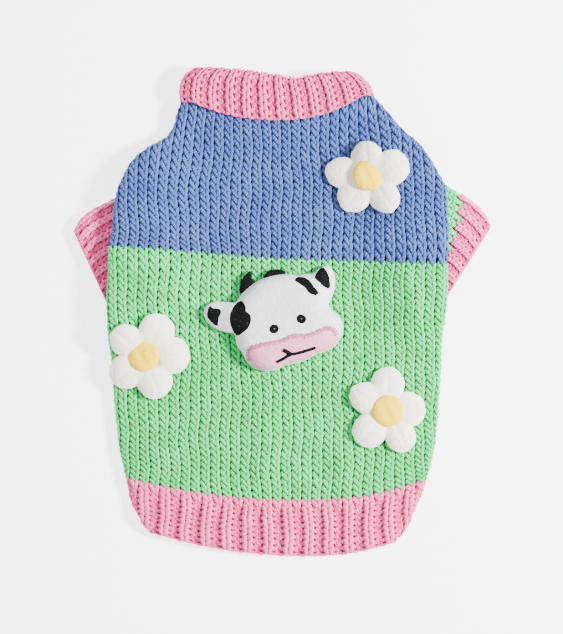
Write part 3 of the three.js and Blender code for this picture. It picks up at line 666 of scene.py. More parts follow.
class Nodes:
    """Small helper that builds one material's nodes."""

    def __init__(self, name, roughness, sheen=0.0):
        self.material = bpy.data.materials.new(name)
        self.material.use_nodes = True
        self.tree = self.material.node_tree
        self.shader = self.tree.nodes["Principled BSDF"]
        self.shader.inputs["Roughness"].default_value = roughness
        self.shader.inputs["Specular IOR Level"].default_value = 0.12
        self.shader.inputs["Sheen Weight"].default_value = sheen
        self.shader.inputs["Sheen Roughness"].default_value = 0.5

    def add(self, kind, inputs=None, **settings):
        node = self.tree.nodes.new(kind)
        for key, value in settings.items():
            setattr(node, key, value)
        for key, value in (inputs or {}).items():
            self.feed(node.inputs[key], value)
        return node

    def feed(self, socket, value):
        if isinstance(value, bpy.types.NodeSocket):
            self.tree.links.new(value, socket)
        else:
            socket.default_value = value

    def maths(self, operation, *values):
        node = self.add("ShaderNodeMath", operation=operation)
        for socket, value in zip(node.inputs, values):
            self.feed(socket, value)
        return node.outputs[0]

    def noise(self, scale, detail=3.0):
        place = self.add("ShaderNodeTexCoord").outputs["Object"]
        node = self.add("ShaderNodeTexNoise", {"Vector": place, "Scale": scale, "Detail": detail})
        return node.outputs["Fac"]

    def mix(self, share, first, second):
        node = self.add("ShaderNodeMix", data_type="RGBA")
        for place, value in ((0, share), (6, first), (7, second)):
            self.feed(node.inputs[place], value)
        return node.outputs[2]

    def spread(self, value, low, high):
        node = self.add("ShaderNodeMapRange", {"Value": value, "From Min": low, "From Max": high})
        return node.outputs["Result"]

    def bump(self, height, distance, strength=1.0, normal=None):
        node = self.add("ShaderNodeBump", {"Height": height, "Distance": distance, "Strength": strength})
        if normal is not None:
            self.feed(node.inputs["Normal"], normal)
        return node.outputs["Normal"]

    def finish(self, colour, normal):
        self.feed(self.shader.inputs["Base Color"], colour)
        self.feed(self.shader.inputs["Normal"], normal)
        return self.material


YARN_SHADE_DEPTHS = (1.15, -0.7)  # out from the cloth's middle, where the yarn's painted shade starts and is darkest
WINDING = 0.42  # turns of the strands round the yarn, for each millimetre
NAP = 0.0003  # height of the felt's nap, in metres


def yarn_material(name, light, mid, dark_tone_and_shade, depths=YARN_SHADE_DEPTHS):
    """Soft plied yarn: strands wind round it, with painted shade in the grooves between them, and painted
    shade darkens it between the two depths, low in the cloth.
    """
    nodes = Nodes(name, roughness=0.9, sheen=0.15)
    uv = nodes.add("ShaderNodeUVMap", uv_map="yarn").outputs[0]
    split = nodes.add("ShaderNodeSeparateXYZ", {"Vector": uv})
    winding = nodes.maths("ADD", nodes.maths("MULTIPLY", split.outputs["X"], WINDING), split.outputs["Y"])
    strands = nodes.maths("SINE", nodes.maths("MULTIPLY", winding, 4 * math.pi))
    patchy = nodes.spread(nodes.noise(90.0, 2.0), 0.35, 0.65)
    stitches = nodes.spread(nodes.noise(310.0, 1.0), 0.42, 0.7)
    fibres = nodes.spread(nodes.noise(3200.0, 3.0), 0.35, 0.7)
    depth = nodes.add("ShaderNodeAttribute", attribute_name="depth", attribute_type="GEOMETRY")
    # painted shade: the lower the yarn lies in the cloth, the darker it is
    sunk = nodes.spread(depth.outputs["Fac"], *depths)
    base = nodes.mix(patchy, linear(mid), linear(light))
    base = nodes.mix(nodes.maths("MULTIPLY", stitches, 0.22), base, linear(dark_tone_and_shade))
    # painted shade in the grooves between the strands
    strand_shade = nodes.maths("MULTIPLY", nodes.spread(strands, 0.3, -1.0), 0.25)
    base = nodes.mix(strand_shade, base, linear(dark_tone_and_shade))
    base = nodes.mix(nodes.maths("MULTIPLY", fibres, 0.12), base, linear(dark_tone_and_shade))
    base = nodes.mix(sunk, base, linear(dark_tone_and_shade))
    normal = nodes.bump(strands, 0.00018)
    normal = nodes.bump(fibres, 0.00012, 0.6, normal)
    return nodes.finish(base, normal)


def shade_shell_material(name, colour, dark_tone_and_shade):
    """Dull dark colour that shows only between the loops of yarn, as painted shade in the gaps."""
    nodes = Nodes(name, roughness=1.0)
    base = nodes.mix(nodes.noise(500.0), linear(colour), linear(dark_tone_and_shade))
    return nodes.finish(base, nodes.bump(nodes.noise(900.0), 0.0003))


def felt_material(name, colour, shade, sheen=0.4):
    """Brushed felt or plush: small tufts with a short nap, painted shade between the tufts and fine fibres,
    and an uneven broad tone.
    """
    nodes = Nodes(name, roughness=0.95, sheen=sheen)
    broad = nodes.spread(nodes.noise(60.0, 2.0), 0.35, 0.7)
    tufts = nodes.noise(420.0, 2.0)
    fine = nodes.noise(1300.0, 4.0)
    base = nodes.mix(nodes.maths("MULTIPLY", broad, 0.5), linear(colour), linear(shade))
    # painted shade between the tufts and the fine fibres
    base = nodes.mix(nodes.maths("MULTIPLY", nodes.spread(tufts, 0.45, 0.7), 0.4), base, linear(shade))
    base = nodes.mix(nodes.maths("MULTIPLY", nodes.spread(fine, 0.4, 0.7), 0.35), base, linear(shade))
    return nodes.finish(base, nodes.bump(fine, NAP, 0.8, nodes.bump(tufts, 2 * NAP, 0.8)))


def embroidery_material(name, colour, speck):
    """Dense dark stitches with small light specks between them."""
    nodes = Nodes(name, roughness=0.9)
    grain = nodes.noise(1500.0, 2.0)
    share = nodes.maths("MULTIPLY", nodes.spread(grain, 0.62, 0.74), 0.5)
    return nodes.finish(nodes.mix(share, linear(colour), linear(speck)), nodes.bump(grain, 0.0003))


def dress(piece, material, slot):
    """Gives a piece its finish and its body; the slot is not used."""
    piece.data.materials.append(material)
    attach(piece, "root")
    return piece


# the last colour of each yarn is its darker tone, used for uneven stitches and for painted shade
PINK = yarn_material("pink_yarn", "FF78AE", "FB62A0", "EA4A8C", depths=(1.4, -0.1))
BLUE = yarn_material("blue_yarn", "5870AE", "4660A2", "1C3074")
GREEN = yarn_material("green_yarn", "46EC86", "32DC6E", "0AA048")
# shells behind the yarn, darker than it: painted shade between the loops
PINK_SHADE_SHELL = shade_shell_material("pink_shade_shell", "E8609A", "DA4E8A")
BLUE_SHADE_SHELL = shade_shell_material("blue_shade_shell", "1A2A64", "122050")
GREEN_SHADE_SHELL = shade_shell_material("green_shade_shell", "0A843A", "087030")
PETAL_WHITE = felt_material("petal_plush", "F6F1E4", "E6DECC")
HEAD_WHITE = felt_material("head_plush", "DCDBE0", "C6C4CA")
YELLOW = felt_material("yellow_plush", "FADA00", "F4BA00", sheen=0.0)
MUZZLE = felt_material("pink_felt", "E296B2", "D486A4", sheen=0.1)
SATIN = felt_material("pink_satin", "CE7496", "B45C80", sheen=0.1)
BLACK = embroidery_material("black_felt", "040405", "56545C")
# painted highlight: a light grey dot in the middle of each black eye
EYE_HIGHLIGHT = felt_material("eye_highlight_grey", "84828C", "5A5862")

# Shell of painted shade, and yarn, of each slot
FINISHES = {
    "pink_yarn": (PINK_SHADE_SHELL, PINK),
    "blue_yarn": (BLUE_SHADE_SHELL, BLUE),
    "green_yarn": (GREEN_SHADE_SHELL, GREEN),
}


# Body


def lay_cloth(node, grid, place, yarns, slot, closed=False):
    """Dark shell of painted shade with its yarn; the part's own piece is hidden."""
    # the shell's dark colour is painted shade between the loops
    ground, yarn = FINISHES[slot]
    shell = dress(shade_shell(f"{node}_cloth", place, *grid, closed=closed), ground, slot)
    for piece in yarns:
        dress(piece, yarn, slot)
    across, rows = grid
    points = place(across, rows, np.zeros(across.shape))
    width = max(np.linalg.norm(np.diff(points, axis=1), axis=-1).sum(axis=1)) * MM
    length = max(np.linalg.norm(np.diff(points, axis=0), axis=-1).sum(axis=0)) * MM
    area = min(area_of(place, across, rows), width * length)
    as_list(yarns)
    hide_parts(node)


STRIPE, RIB, HEM = BACK_DEPTHS[STRIPE_ROW], BACK_DEPTHS[RIB_ROW], BACK_DEPTHS[-1]


def make_back():
    middle = (STRIPE + RIB) / 2
    yoke = [plain_panel("yoke_knit", YOKE_START, STRIPE)]
    lower = [
        plain_panel("lower_knit_1", STRIPE, middle, FIRST_REACH),
        plain_panel("lower_knit_2", middle, RIB),
    ]
    lay_cloth("back_yoke", back_grid(0, STRIPE, YOKE_ROWS), on_back, yoke, "blue_yarn")
    lay_cloth("back_lower", back_grid(STRIPE, RIB, LOWER_ROWS), on_back, lower, "green_yarn")


def side_depths(first, last, v):
    """Depth of each wale's rib in a course of the hem, less where the cloth turns under."""
    row = back_row(-v)
    x = (np.arange(first, last) + 0.5) * WALE
    from_side = np.minimum(np.abs(x - row["left_x"]), np.abs(row["right_x"] - x))
    return 1 - FLAT_SIDE * np.exp(-((from_side / WALE) ** 2))


def make_hem():
    """Ribbed hem of the back: a plain course where the yarn changes, and the ribs grow out of it."""
    spacing = (HEM - EDGE_INSET - RIB) / HEM_COURSES
    ribs = []
    for i in range(HEM_COURSES):
        v = -(RIB + (i + 0.5) * spacing)
        first, last = side_limits(v)
        if i == 0:
            ribs.append(stocking_course(first, last, v, SAMPLES, FIRST_REACH))
        else:
            depths = min(1, RIB_DEEPENS * i) * side_depths(first, last, v)
            ribs.append(rib_course(first, last, v, SAMPLES, WALE, depths, spacing))
    knit = yarn_tubes("hem_knit", ribs, on_drawn_back, RIB_YARN)
    first, last = side_limits(-HEM)
    chain = edge_chain(first, last, WALE, CHAIN_INSET - HEM)
    edge = yarn_tubes("hem_edge", [chain], on_drawn_back, CHAIN_YARN)
    lay_cloth("back_hem", back_grid(RIB, HEM, HEM_ROWS), on_back, [knit, edge], "pink_yarn")


def belly_sides(v):
    """Places across the belly of its two side seams."""
    row = belly_row(-v)
    inset = row["strip"] + SEAM
    return row["left_x"] + inset, row["right_x"] - inset


def belly_limits(v):
    """First and last wale of a course that fit between the belly's side seams."""
    left, right = belly_sides(v)
    return math.ceil(float(left) / WALE), math.floor(float(right) / WALE) - 1


def belly_grid(top, bottom, rows):
    """Grid over the belly between two depths."""
    v = -np.linspace(top, bottom, rows)
    left, right = belly_sides(v)
    x = (left + (right - left) * np.linspace(0, 1, BELLY_COLUMNS)[:, None]).T
    return x, np.broadcast_to(v[:, None], x.shape)


def make_belly():
    rib, end = BELLY_DEPTHS[RIB_ROW], BELLY_DEPTHS[-1]
    courses = int(round(rib / COURSE))
    plain = []
    for i in range(courses):
        v = -(i + 0.5) * rib / courses
        first, last = belly_limits(v)
        plain.append(stocking_course(first, last, v, HIDDEN_SAMPLES))
    knit = yarn_tubes("belly_knit", plain, on_belly)
    lay_cloth("belly", belly_grid(0, rib, BELLY_ROWS), on_belly, [knit], "green_yarn")
    spacing = (end - rib) / BELLY_HEM_COURSES
    ribs = []
    for i in range(BELLY_HEM_COURSES):
        v = -(rib + (i + 0.5) * spacing)
        first, last = belly_limits(v)
        ribs.append(rib_course(first, last + 1, v, HIDDEN_SAMPLES, WALE, BELLY_HEM_DEPTH, spacing))
    hem = yarn_tubes("belly_hem_knit", ribs, on_belly)
    lay_cloth("belly_hem", belly_grid(rib, end, BELLY_HEM_ROWS), on_belly, [hem], "pink_yarn")


def sleeve_length(sleeve):
    """Length of a sleeve along its middle, from the side seam to the cuff's edge."""
    root, end = sleeve_spot(sleeve, np.array([0.0, 1.0]), np.array([0.5, 0.5]))
    return float(np.linalg.norm(end - root))


def plain_rounds(change, wales):
    """Plain courses round a sleeve, down to where its rib starts."""
    ones = np.ones(wales)
    starts, widths = np.arange(wales) * CUFF_WALE, ones * CUFF_WALE
    courses = int(round(change / COURSE))
    paths = []
    for i in range(courses):
        v = -(i + 0.5) * change / courses
        paths.append(
            loop_course(starts, widths, ones * SLEEVE_BASE, ones * LOOP_DEPTH, v, SAMPLES, skew=0.0)
        )
    return paths


def ribbed_rounds(change, end, wales):
    """Courses of rib round a sleeve, down to its edge."""
    courses = int(round((end - change) / CUFF_COURSE))
    spacing = (end - change) / courses
    paths = []
    for i in range(courses):
        v = -(change + (i + 0.5) * spacing)
        reach = FIRST_REACH if i == 0 else 1.0
        paths.append(rib_course(0, wales, v, SAMPLES, CUFF_WALE, CUFF_DEPTH, spacing, reach))
    return paths


PAST_EDGE = 1.02  # how far out yarn may reach, as a share of the sleeve's length


def make_sleeve(side, sleeve):
    length = sleeve_length(sleeve)

    def place(around, v, out):
        return on_sleeve(sleeve, around, np.clip(-v / length, 0, PAST_EDGE), out)

    wales = 2 * CUFF_WALES
    cuff = sleeve["cuff_from"] * length
    change = cuff - COURSE * RIB_OVERLAP
    plain = plain_rounds(change, wales)
    ribbed = ribbed_rounds(change, length - EDGE_INSET, wales)
    knit = yarn_tubes(f"sleeve_{side}_knit", plain, place)
    ribs = yarn_tubes(f"cuff_{side}_knit", ribbed, place, CUFF_YARN)
    chain = edge_chain(0, wales, CUFF_WALE, CHAIN_INSET - length)
    edge = yarn_tubes(f"cuff_{side}_edge", [chain], place, CHAIN_YARN)
    around = np.linspace(0, wales * CUFF_WALE, SLEEVE_COLUMNS + 1)[:-1]
    for piece, start, end, yarns, slot in (
        ("sleeve", 0, cuff, [knit], "green_yarn"),
        ("cuff", cuff, length, [ribs, edge], "pink_yarn"),
    ):
        v = -np.linspace(start, end, SLEEVE_ROWS)
        grid = np.broadcast_arrays(around[None, :], v[:, None])
        lay_cloth(f"{piece}_{side}", grid, place, yarns, slot, closed=True)


def collar_depths(height, fold):
    """Depth of each wale's rib in one course: less over the fold and round the collar's two ends."""
    repeat = COLLAR_WALES + COLLAR_SIDE_WALES
    from_end = np.abs(np.mod(np.arange(COLLAR_ROUND) + COLLAR_SIDE_WALES / 2, repeat) - repeat / 2)
    near_end = np.exp(-(((repeat / 2 - from_end) / COLLAR_SIDE_WALES) ** 2))
    near_fold = math.exp(-(((height - fold) / (FOLD_REACH * COURSE)) ** 2))
    return COLLAR_DEPTH * (1 - FLAT_END * near_end) * (1 - FLAT_FOLD * near_fold)


def make_collar():
    flap, over = (1 - COLLAR_TURN) * COLLAR_HEIGHT, np.pi * TURN_SCALE
    total = flap + over + (1 - COLLAR_TURN - NECK_SEAM) * COLLAR_HEIGHT
    courses = int(round(total / COURSE))
    spacing = total / courses
    ribs = []
    for i in range(courses):
        height = (i + COLLAR_START) * spacing
        depths = collar_depths(height, flap + over / 2)
        ribs.append(rib_course(0, COLLAR_ROUND, height, SAMPLES, COLLAR_WALE, depths, spacing))
    knit = yarn_tubes("collar_knit", ribs, on_collar)
    chain = edge_chain(0, COLLAR_ROUND, COLLAR_WALE, CHAIN_INSET, COLLAR_DIP)
    edge = yarn_tubes("collar_edge", [chain], on_collar, RIB_YARN)
    around = np.linspace(0, COLLAR_ROUND * COLLAR_WALE, COLLAR_COLUMNS + 1)[:-1]
    grid = np.broadcast_arrays(around[None, :], np.linspace(0, total, COLLAR_ROWS)[:, None])
    lay_cloth("collar", grid, on_collar, [knit, edge], "pink_yarn", closed=True)


# Stuffed motifs

PETAL_ALONG = 9.2  # half the length of a petal
PETAL_RISE, PETAL_EDGE = 4.0, 1.5
PETAL_BLEND, PETAL_FILL = 5, 0.6  # how sharply petals part, and how full they are where they meet
PETAL_CREASE, CREASE_WIDTH = 0.35, 1.3  # along each petal
PETAL_RAGGED = 0.12
CENTRE_RADIUS, CENTRE_RISE = 8.2, 2.3
CENTRE_SEAT, CENTRE_SINK = 2.4, 0.9  # height of its rim over the petals' edge, and how far it goes below that
CENTRE_UNROUND, CENTRE_WRINKLE = 0.012, 0.22
DAISIES = {
    # place, and a row for each petal: direction, reach, width
    "daisy_1": (
        (44.5, 70),
        [(97, 17.6, 16.5), (18, 21.3, 18.5), (-55, 22.5, 15.5), (-126, 21.7, 17.5), (174, 22.6, 16)],
    ),
    "daisy_2": (
        (-71.5, -23),
        [(62, 23.4, 18.5), (0, 23.7, 19.5), (-68, 23.6, 18.5), (-138, 21.5, 18), (139, 20.5, 17)],
    ),
    "daisy_3": (
        (54.5, -51.5),
        [(91, 22.7, 17.5), (3, 19.5, 18.5), (-64, 23.3, 16), (-133, 23, 18), (150, 22.1, 16)],
    ),
}

COW_X, COW_Y, COW_TURN = -0.3, -3.5, 17
COW_RISE, COW_EDGE, COW_ROUNDING = 7.4, 1.6, 9.5
COW_SMOOTHING = 6  # times that the outline's corners between the ovals are eased
CROWN_RISE, CROWN_ALONG, CROWN_ACROSS = 1.2, 26, 22
EAR_FLATTER, EAR_FROM, EAR_TO = 0.4, 25, 34  # how much flatter the ears are, and how far out that comes
MOTIF_LIMIT = 0.985  # share of the head's reach that a motif on it may take
COW_OVALS = [
    # x, y, along, across, turn
    (-0.5, 1, 25.5, 21.3, 0),
    (14, 9, 14, 9.6, 0),
    (-11.2, -12.5, 13.4, 12.3, 0),
    (2, -12, 20, 12.7, 0),
    (15, -11.5, 14.2, 11.8, 0),
    (0, -6, 26.4, 15, 0),
    (-28, 9, 11.5, 7.6, -38),
    (24.5, 9, 11.5, 6.5, 60),
]

# Outlines and lines through a few places in the cow's own axes
COW_PATCHES = {
    "brow_left": [
        (-17.7, 14.6), (-16.1, 11.6), (-16.6, 8.7), (-15.2, 6.3), (-15.7, 3), (-18, 0.1), (-21.3, -1.4),
        (-25, -2), (-26.2, 2.1), (-26.1, 6.2), (-24.6, 9.9), (-21.9, 13),
    ],
    "brow_right": [
        (13.7, 17.7), (16.8, 16.7), (18.9, 14.5), (20.3, 10.8), (21.7, 6.9), (19.7, 6), (17, 8.2),
        (16.1, 10.9), (14, 13.7), (12, 16.4),
    ],
    "ear_left": [
        (-34.2, 16.4), (-32.4, 15.2), (-29.4, 13.6), (-29.2, 11.6), (-31, 9.6), (-33, 5.8), (-35.2, 8),
        (-36.6, 12),
    ],
    "ear_right": [
        (27.2, 18.8), (28.8, 17), (29.4, 12.9), (28.6, 8.4), (27.2, 7.4), (25.3, 9), (23.8, 11.7),
        (22.2, 15), (24.7, 17.6),
    ],
}
COW_HORNS = {
    "left": [
        (-16.8, 18.4), (-15.6, 22.6), (-13.2, 25.5), (-10.6, 27.2), (-8.6, 28), (-8.7, 25.6), (-9.2, 23),
        (-9.8, 19.4),
    ],
    "right": [(-3, 22.8), (0, 25), (3.1, 25), (6, 24.4), (8.7, 22), (6, 19.8), (0, 20.2)],
}
MUZZLE_TOP = [
    (-22.8, -16.4), (-22.7, -13.6), (-21.6, -11.2), (-19.2, -10), (-13.8, -10.1), (-8.2, -10.7),
    (-3.2, -11.1), (0.7, -10.4), (5.6, -10.8), (9.2, -12.4), (14.1, -12.2), (19.1, -11.5), (22.3, -12),
    (24.2, -14.2), (24.9, -17.4),
]
MUZZLE_LOW = [
    (24.8, -19.6), (23.6, -21.8), (20, -23), (16, -23.2), (8.1, -23.9), (0.2, -24.3), (-7.7, -24.5),
    (-15.2, -24), (-19.5, -22.4), (-22, -19),
]
COW_MOUTH = [
    (-9.4, -21), (-6.6, -20.6), (-3.8, -19.9), (-1.5, -19.3), (1.5, -19.7), (6.6, -19.9), (12.1, -19.8),
]
COW_NOSE = [(-4.3, -16), (-3.4, -16.8), (-2.4, -17.8), (-1.6, -19.1)]
COW_EYES = {"left": (-5.5, -4.3), "right": (9.4, -3.5)}
NOSE_TIP = (-1.8, -18.9)
# each eye has a small grey dot in its middle as a painted highlight
EYE_RADIUS, HIGHLIGHT_RADIUS, NOSE_TIP_RADIUS = 2.4, 0.34, 1.5
MUZZLE_LIFT, EYE_LIFT, HIGHLIGHT_LIFT, PATCH_LIFT, NOSE_TIP_LIFT, THREAD_LIFT = 0.9, 0.6, 0.75, 0.35, 1.6, 1.0
MOTIF_SINK = 0.3  # how far a motif's underside lies in the plush
MOUTH_YARN, NOSE_YARN = 0.8, 1.05
PATCH_ROUGH = 0.07  # how ragged an embroidered edge is
HORN_THICKNESS = 2.8

# Satin stitches over the muzzle's upper edge: how far in and out they reach, their lift and thread
SATIN_STITCHES = 56
SATIN_IN, SATIN_OUT, SATIN_LIFT, SATIN_YARN = 1.5, 0.9, 0.75, 0.33
SATIN_POINTS = 5

HEIGHTS_DOWN_BACK = BODY["back_y"][::-1]
DEPTHS_DOWN_BACK = BACK_DEPTHS[NECK_ROWS:][::-1]


def cloth_under(x, y):
    """Top of the cloth at any place, bending down past the turn at the sides."""
    row = back_row(np.interp(y, HEIGHTS_DOWN_BACK, DEPTHS_DOWN_BACK))
    turn_x = np.clip(x, row["left_x"] + FOLD, row["right_x"] - FOLD)
    past = np.minimum(np.abs(x - turn_x), 0.9 * FOLD)
    return back_top(turn_x, y) - FOLD + np.sqrt(FOLD**2 - past**2)


def ring_shares(first, rings):
    """Shares of its reach where a stuffed piece's rings lie, closer together towards its rim."""
    return np.sin(np.linspace(first, 1, rings) * np.pi / 2)


def puffed(share, power):
    """One over the middle of a stuffed piece and zero at its rim, the flatter the higher the power."""
    return np.sqrt(np.clip(1 - share**power, 0, 1))


def oval_reach(oval, angle, from_x=0.0, from_y=0.0):
    """Distance from a point to the far side of an oval along rays, zero where they miss it."""
    x, y, along, across, turn = oval
    cx, cy = turned(x - from_x, y - from_y, -turn)
    dx, dy = np.cos(angle - math.radians(turn)), np.sin(angle - math.radians(turn))
    a = (dx / along) ** 2 + (dy / across) ** 2
    b = dx * cx / along**2 + dy * cy / across**2
    c = (cx / along) ** 2 + (cy / across) ** 2 - 1
    root = b**2 - a * c
    return np.where(root > 0, (b + np.sqrt(np.maximum(root, 0))) / a, 0)


def closed_rings(name, upper, lower):
    """Closed piece from rings of points about a middle. lower lacks the outermost ring, which both share."""
    n, m = upper.shape[:2]
    points = np.concatenate([upper.reshape(-1, 3), lower.reshape(-1, 3)])
    quads = [
        grid_quads(n, m, closed_columns=True)[:, ::-1],
        grid_quads(n - 1, m, closed_columns=True) + n * m,
    ]
    rim = np.arange(m)
    after = (rim + 1) % m
    last, last_under = (n - 1) * m, n * m + (n - 2) * m
    quads.append(np.stack([last + rim, last_under + rim, last_under + after, last + after], axis=-1))
    return close_middles(new_piece(name, points, np.concatenate(quads)), n, m)


def ring_piece(name, outline, shares, top, bottom, centre):
    """Closed piece from rings about a centre: outline gives each ray's length, top and bottom the heights."""
    angles, reach = outline
    x = centre[0] + shares[:, None] * reach * np.cos(angles)
    y = centre[1] + shares[:, None] * reach * np.sin(angles)
    share = np.broadcast_to(shares[:, None], x.shape)
    upper = np.stack([x, y, top(x, y, share)], axis=-1)
    lower = np.stack([x, y, bottom(x, y, share)], axis=-1)
    return closed_rings(name, upper, lower[:-1])


def close_middles(piece, n, m):
    """Closes the two small holes at the middle of a piece made from rings."""
    bm = bmesh.new()
    bm.from_mesh(piece.data)
    bm.verts.ensure_lookup_table()
    for start in (0, n * m):
        bmesh.ops.contextual_create(bm, geom=bm.verts[start : start + m])
    bmesh.ops.recalc_face_normals(bm, faces=bm.faces)
    for face in bm.faces:
        face.smooth = True
    bm.to_mesh(piece.data)
    bm.free()
    return piece


def ragged(angles, start, amount):
    """Small bumps of a cut and sewn edge along rays."""
    waves = ((11, 1), (17, 2), (29, -1))  # how many all round, and where each starts
    return amount * sum(np.sin(count * angles + shift * start) for count, shift in waves)


def petal_oval(turn, reach, width):
    """Oval of a petal that ends at its reach: middle, half its length and width, and turn."""
    middle_x, middle_y = turned(reach - PETAL_ALONG, 0.0, turn)
    return middle_x, middle_y, PETAL_ALONG, width / 2, turn


def make_petals(name, x, y, petals):
    ovals = [petal_oval(*petal) for petal in petals]
    angles = rays(PETAL_RAYS)
    reach = np.max([oval_reach(oval, angles) for oval in ovals], axis=0) + ragged(angles, x, PETAL_RAGGED)

    def cushion(px, py):
        """Height of the petals' tops, rounded where one meets the next."""
        total = 1e-9
        for ox, oy, along, across, turn in ovals:
            u, v = turned(px - x - ox, py - y - oy, -turn)
            inside = np.clip(1 - (u / along) ** 2 - (v / across) ** 2, 0, 1)
            crease = PETAL_CREASE * np.exp(-((v / CREASE_WIDTH) ** 2)) * smoothstep(inside, 0.1, 0.7)
            total = total + np.exp(PETAL_BLEND * (PETAL_RISE * np.sqrt(inside) - crease) / PETAL_RISE)
        fullness = np.log(total / len(ovals)) + PETAL_FILL * math.log(len(ovals))
        return PETAL_RISE / PETAL_BLEND * fullness

    def top(px, py, share):
        return cloth_under(px, py) + REST + PETAL_EDGE + cushion(px, py) * puffed(share, 8)

    def bottom(px, py, share):
        return cloth_under(px, py) + REST + PETAL_EDGE * share**4

    shares = ring_shares(0.02, PETAL_RINGS)
    flower = ring_piece(f"{name}_plush", (angles, reach), shares, top, bottom, (x, y))
    dress(flower, PETAL_WHITE, "white_plush")
    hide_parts(f"{name}_petals")


def make_centre(name, x, y):
    seat = float(cloth_under(x, y)) + REST + PETAL_EDGE + CENTRE_SEAT
    angles = rays(CENTRE_RAYS)
    reach = CENTRE_RADIUS * (1 + CENTRE_UNROUND * np.cos(6 * angles + x))

    def dome(px, py, share):
        wrinkle = CENTRE_WRINKLE * np.sin(0.9 * (px - x) + 0.5 * (py - y)) * (1 - share**2)
        return seat + CENTRE_RISE * puffed(share, 3) + wrinkle

    def below(px, py, share):
        return seat - CENTRE_SINK * puffed(share, 2)

    shares = ring_shares(0.04, CENTRE_RINGS)
    centre = ring_piece(f"{name}_centre_plush", (angles, reach), shares, dome, below, (x, y))
    dress(centre, YELLOW, "yellow_plush")
    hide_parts(f"{name}_centre")


def cow_world(u, v):
    x, y = turned(np.asarray(u, dtype=float), np.asarray(v, dtype=float), COW_TURN)
    return x + COW_X, y + COW_Y


def cow_local(x, y):
    return turned(x - COW_X, y - COW_Y, -COW_TURN)


COW_ANGLES = rays(COW_RAYS)
COW_REACH = np.max([oval_reach(oval, COW_ANGLES) for oval in COW_OVALS], axis=0)
for _ in range(COW_SMOOTHING):
    COW_REACH = (np.roll(COW_REACH, 1) + 2 * COW_REACH + np.roll(COW_REACH, -1)) / 4
COW_OUTLINE = np.stack([COW_REACH * np.cos(COW_ANGLES), COW_REACH * np.sin(COW_ANGLES)], axis=-1)


def edge_distance(u, v):
    """Distance from places on the cow's head to its outline, in the cow's own axes."""
    nearest = np.full(np.shape(u), np.inf)
    for a, b in zip(COW_OUTLINE[::2], np.roll(COW_OUTLINE[::2], -1, axis=0)):
        along = b - a
        t = np.clip(((u - a[0]) * along[0] + (v - a[1]) * along[1]) / (along @ along), 0, 1)
        nearest = np.minimum(nearest, np.hypot(u - a[0] - t * along[0], v - a[1] - t * along[1]))
    return nearest


def cow_top(u, v):
    """Top of the stuffed head at places in its own axes."""
    x, y = cow_world(u, v)
    part = np.clip(edge_distance(u, v) / COW_ROUNDING, 0, 1)
    ears = 1 - EAR_FLATTER * smoothstep(np.hypot(u, v), EAR_FROM, EAR_TO)
    swell = COW_RISE * ears * np.sqrt(1 - (1 - part) ** 2)
    crown = CROWN_RISE * np.clip(1 - (u / CROWN_ALONG) ** 2 - (v / CROWN_ACROSS) ** 2, 0, 1)
    return cloth_under(x, y) + REST + COW_EDGE + swell + crown * (part > 0)


def on_head(u, v, out):
    x, y = cow_world(u, v)
    return np.stack([x, y, cow_top(u, v) + out], axis=-1)


def within_head(u, v):
    """Places drawn in so that they stay on the head."""
    limit = MOTIF_LIMIT * np.interp(np.arctan2(v, u), COW_ANGLES, COW_REACH, period=2 * np.pi)
    share = np.minimum(1, limit / np.hypot(u, v))
    return u * share, v * share


def rings_within(places, rings, rough=0.0):
    """Rings from the middle out to a smooth closed outline through a few places."""
    places = np.array(places, dtype=float)
    middle = places.mean(axis=0)
    steps = np.arange(len(places) * OUTLINE_STEPS) / OUTLINE_STEPS
    wrapped = np.concatenate([places[-2:], places, places[:3]])
    outline = np.stack([smooth_at(wrapped[:, k], steps + 2) for k in (0, 1)], axis=-1)
    outline = outline + chance.normal(0, rough, outline.shape)
    shares = ring_shares(0.05, rings)[:, None]
    u = middle[0] + shares * (outline[:, 0] - middle[0])
    v = middle[1] + shares * (outline[:, 1] - middle[1])
    return shares, u, v


def flat_motif(name, places, lift, material=None, slot="black_felt", rings=PATCH_RINGS):
    """Patch laid on the head, embroidered in black unless a material is given."""
    shares, u, v = rings_within(places, rings, 0.0 if material else PATCH_ROUGH)
    u, v = within_head(u, v)
    upper = on_head(u, v, lift * puffed(shares, 6))
    lower = on_head(u[:-1], v[:-1], -MOTIF_SINK)
    return dress(closed_rings(name, upper, lower), material or BLACK, slot)


def make_dot(name, place, radius, lift, material=None):
    """Small worked dot, not quite a circle."""
    angles = rays(DOT_RAYS)
    reach = radius * (1 + 0.04 * np.sin(2 * angles + place[0]))
    rim = np.stack([place[0] + reach * np.cos(angles), place[1] + reach * np.sin(angles)], axis=-1)
    flat_motif(name, rim, lift, material)


def make_thread(name, places, radius):
    """Black thread laid on the head along a smooth line through a few places."""
    places = np.array(places, dtype=float)
    steps = np.linspace(0, len(places) - 1, (len(places) - 1) * THREAD_SAMPLES + 1)
    u, v = (smooth_at(places[:, k], steps) for k in (0, 1))
    path = np.stack([u, v, np.full_like(u, THREAD_LIFT)], axis=-1)
    dress(yarn_tubes(name, [path], on_head, radius), BLACK, "black_felt")


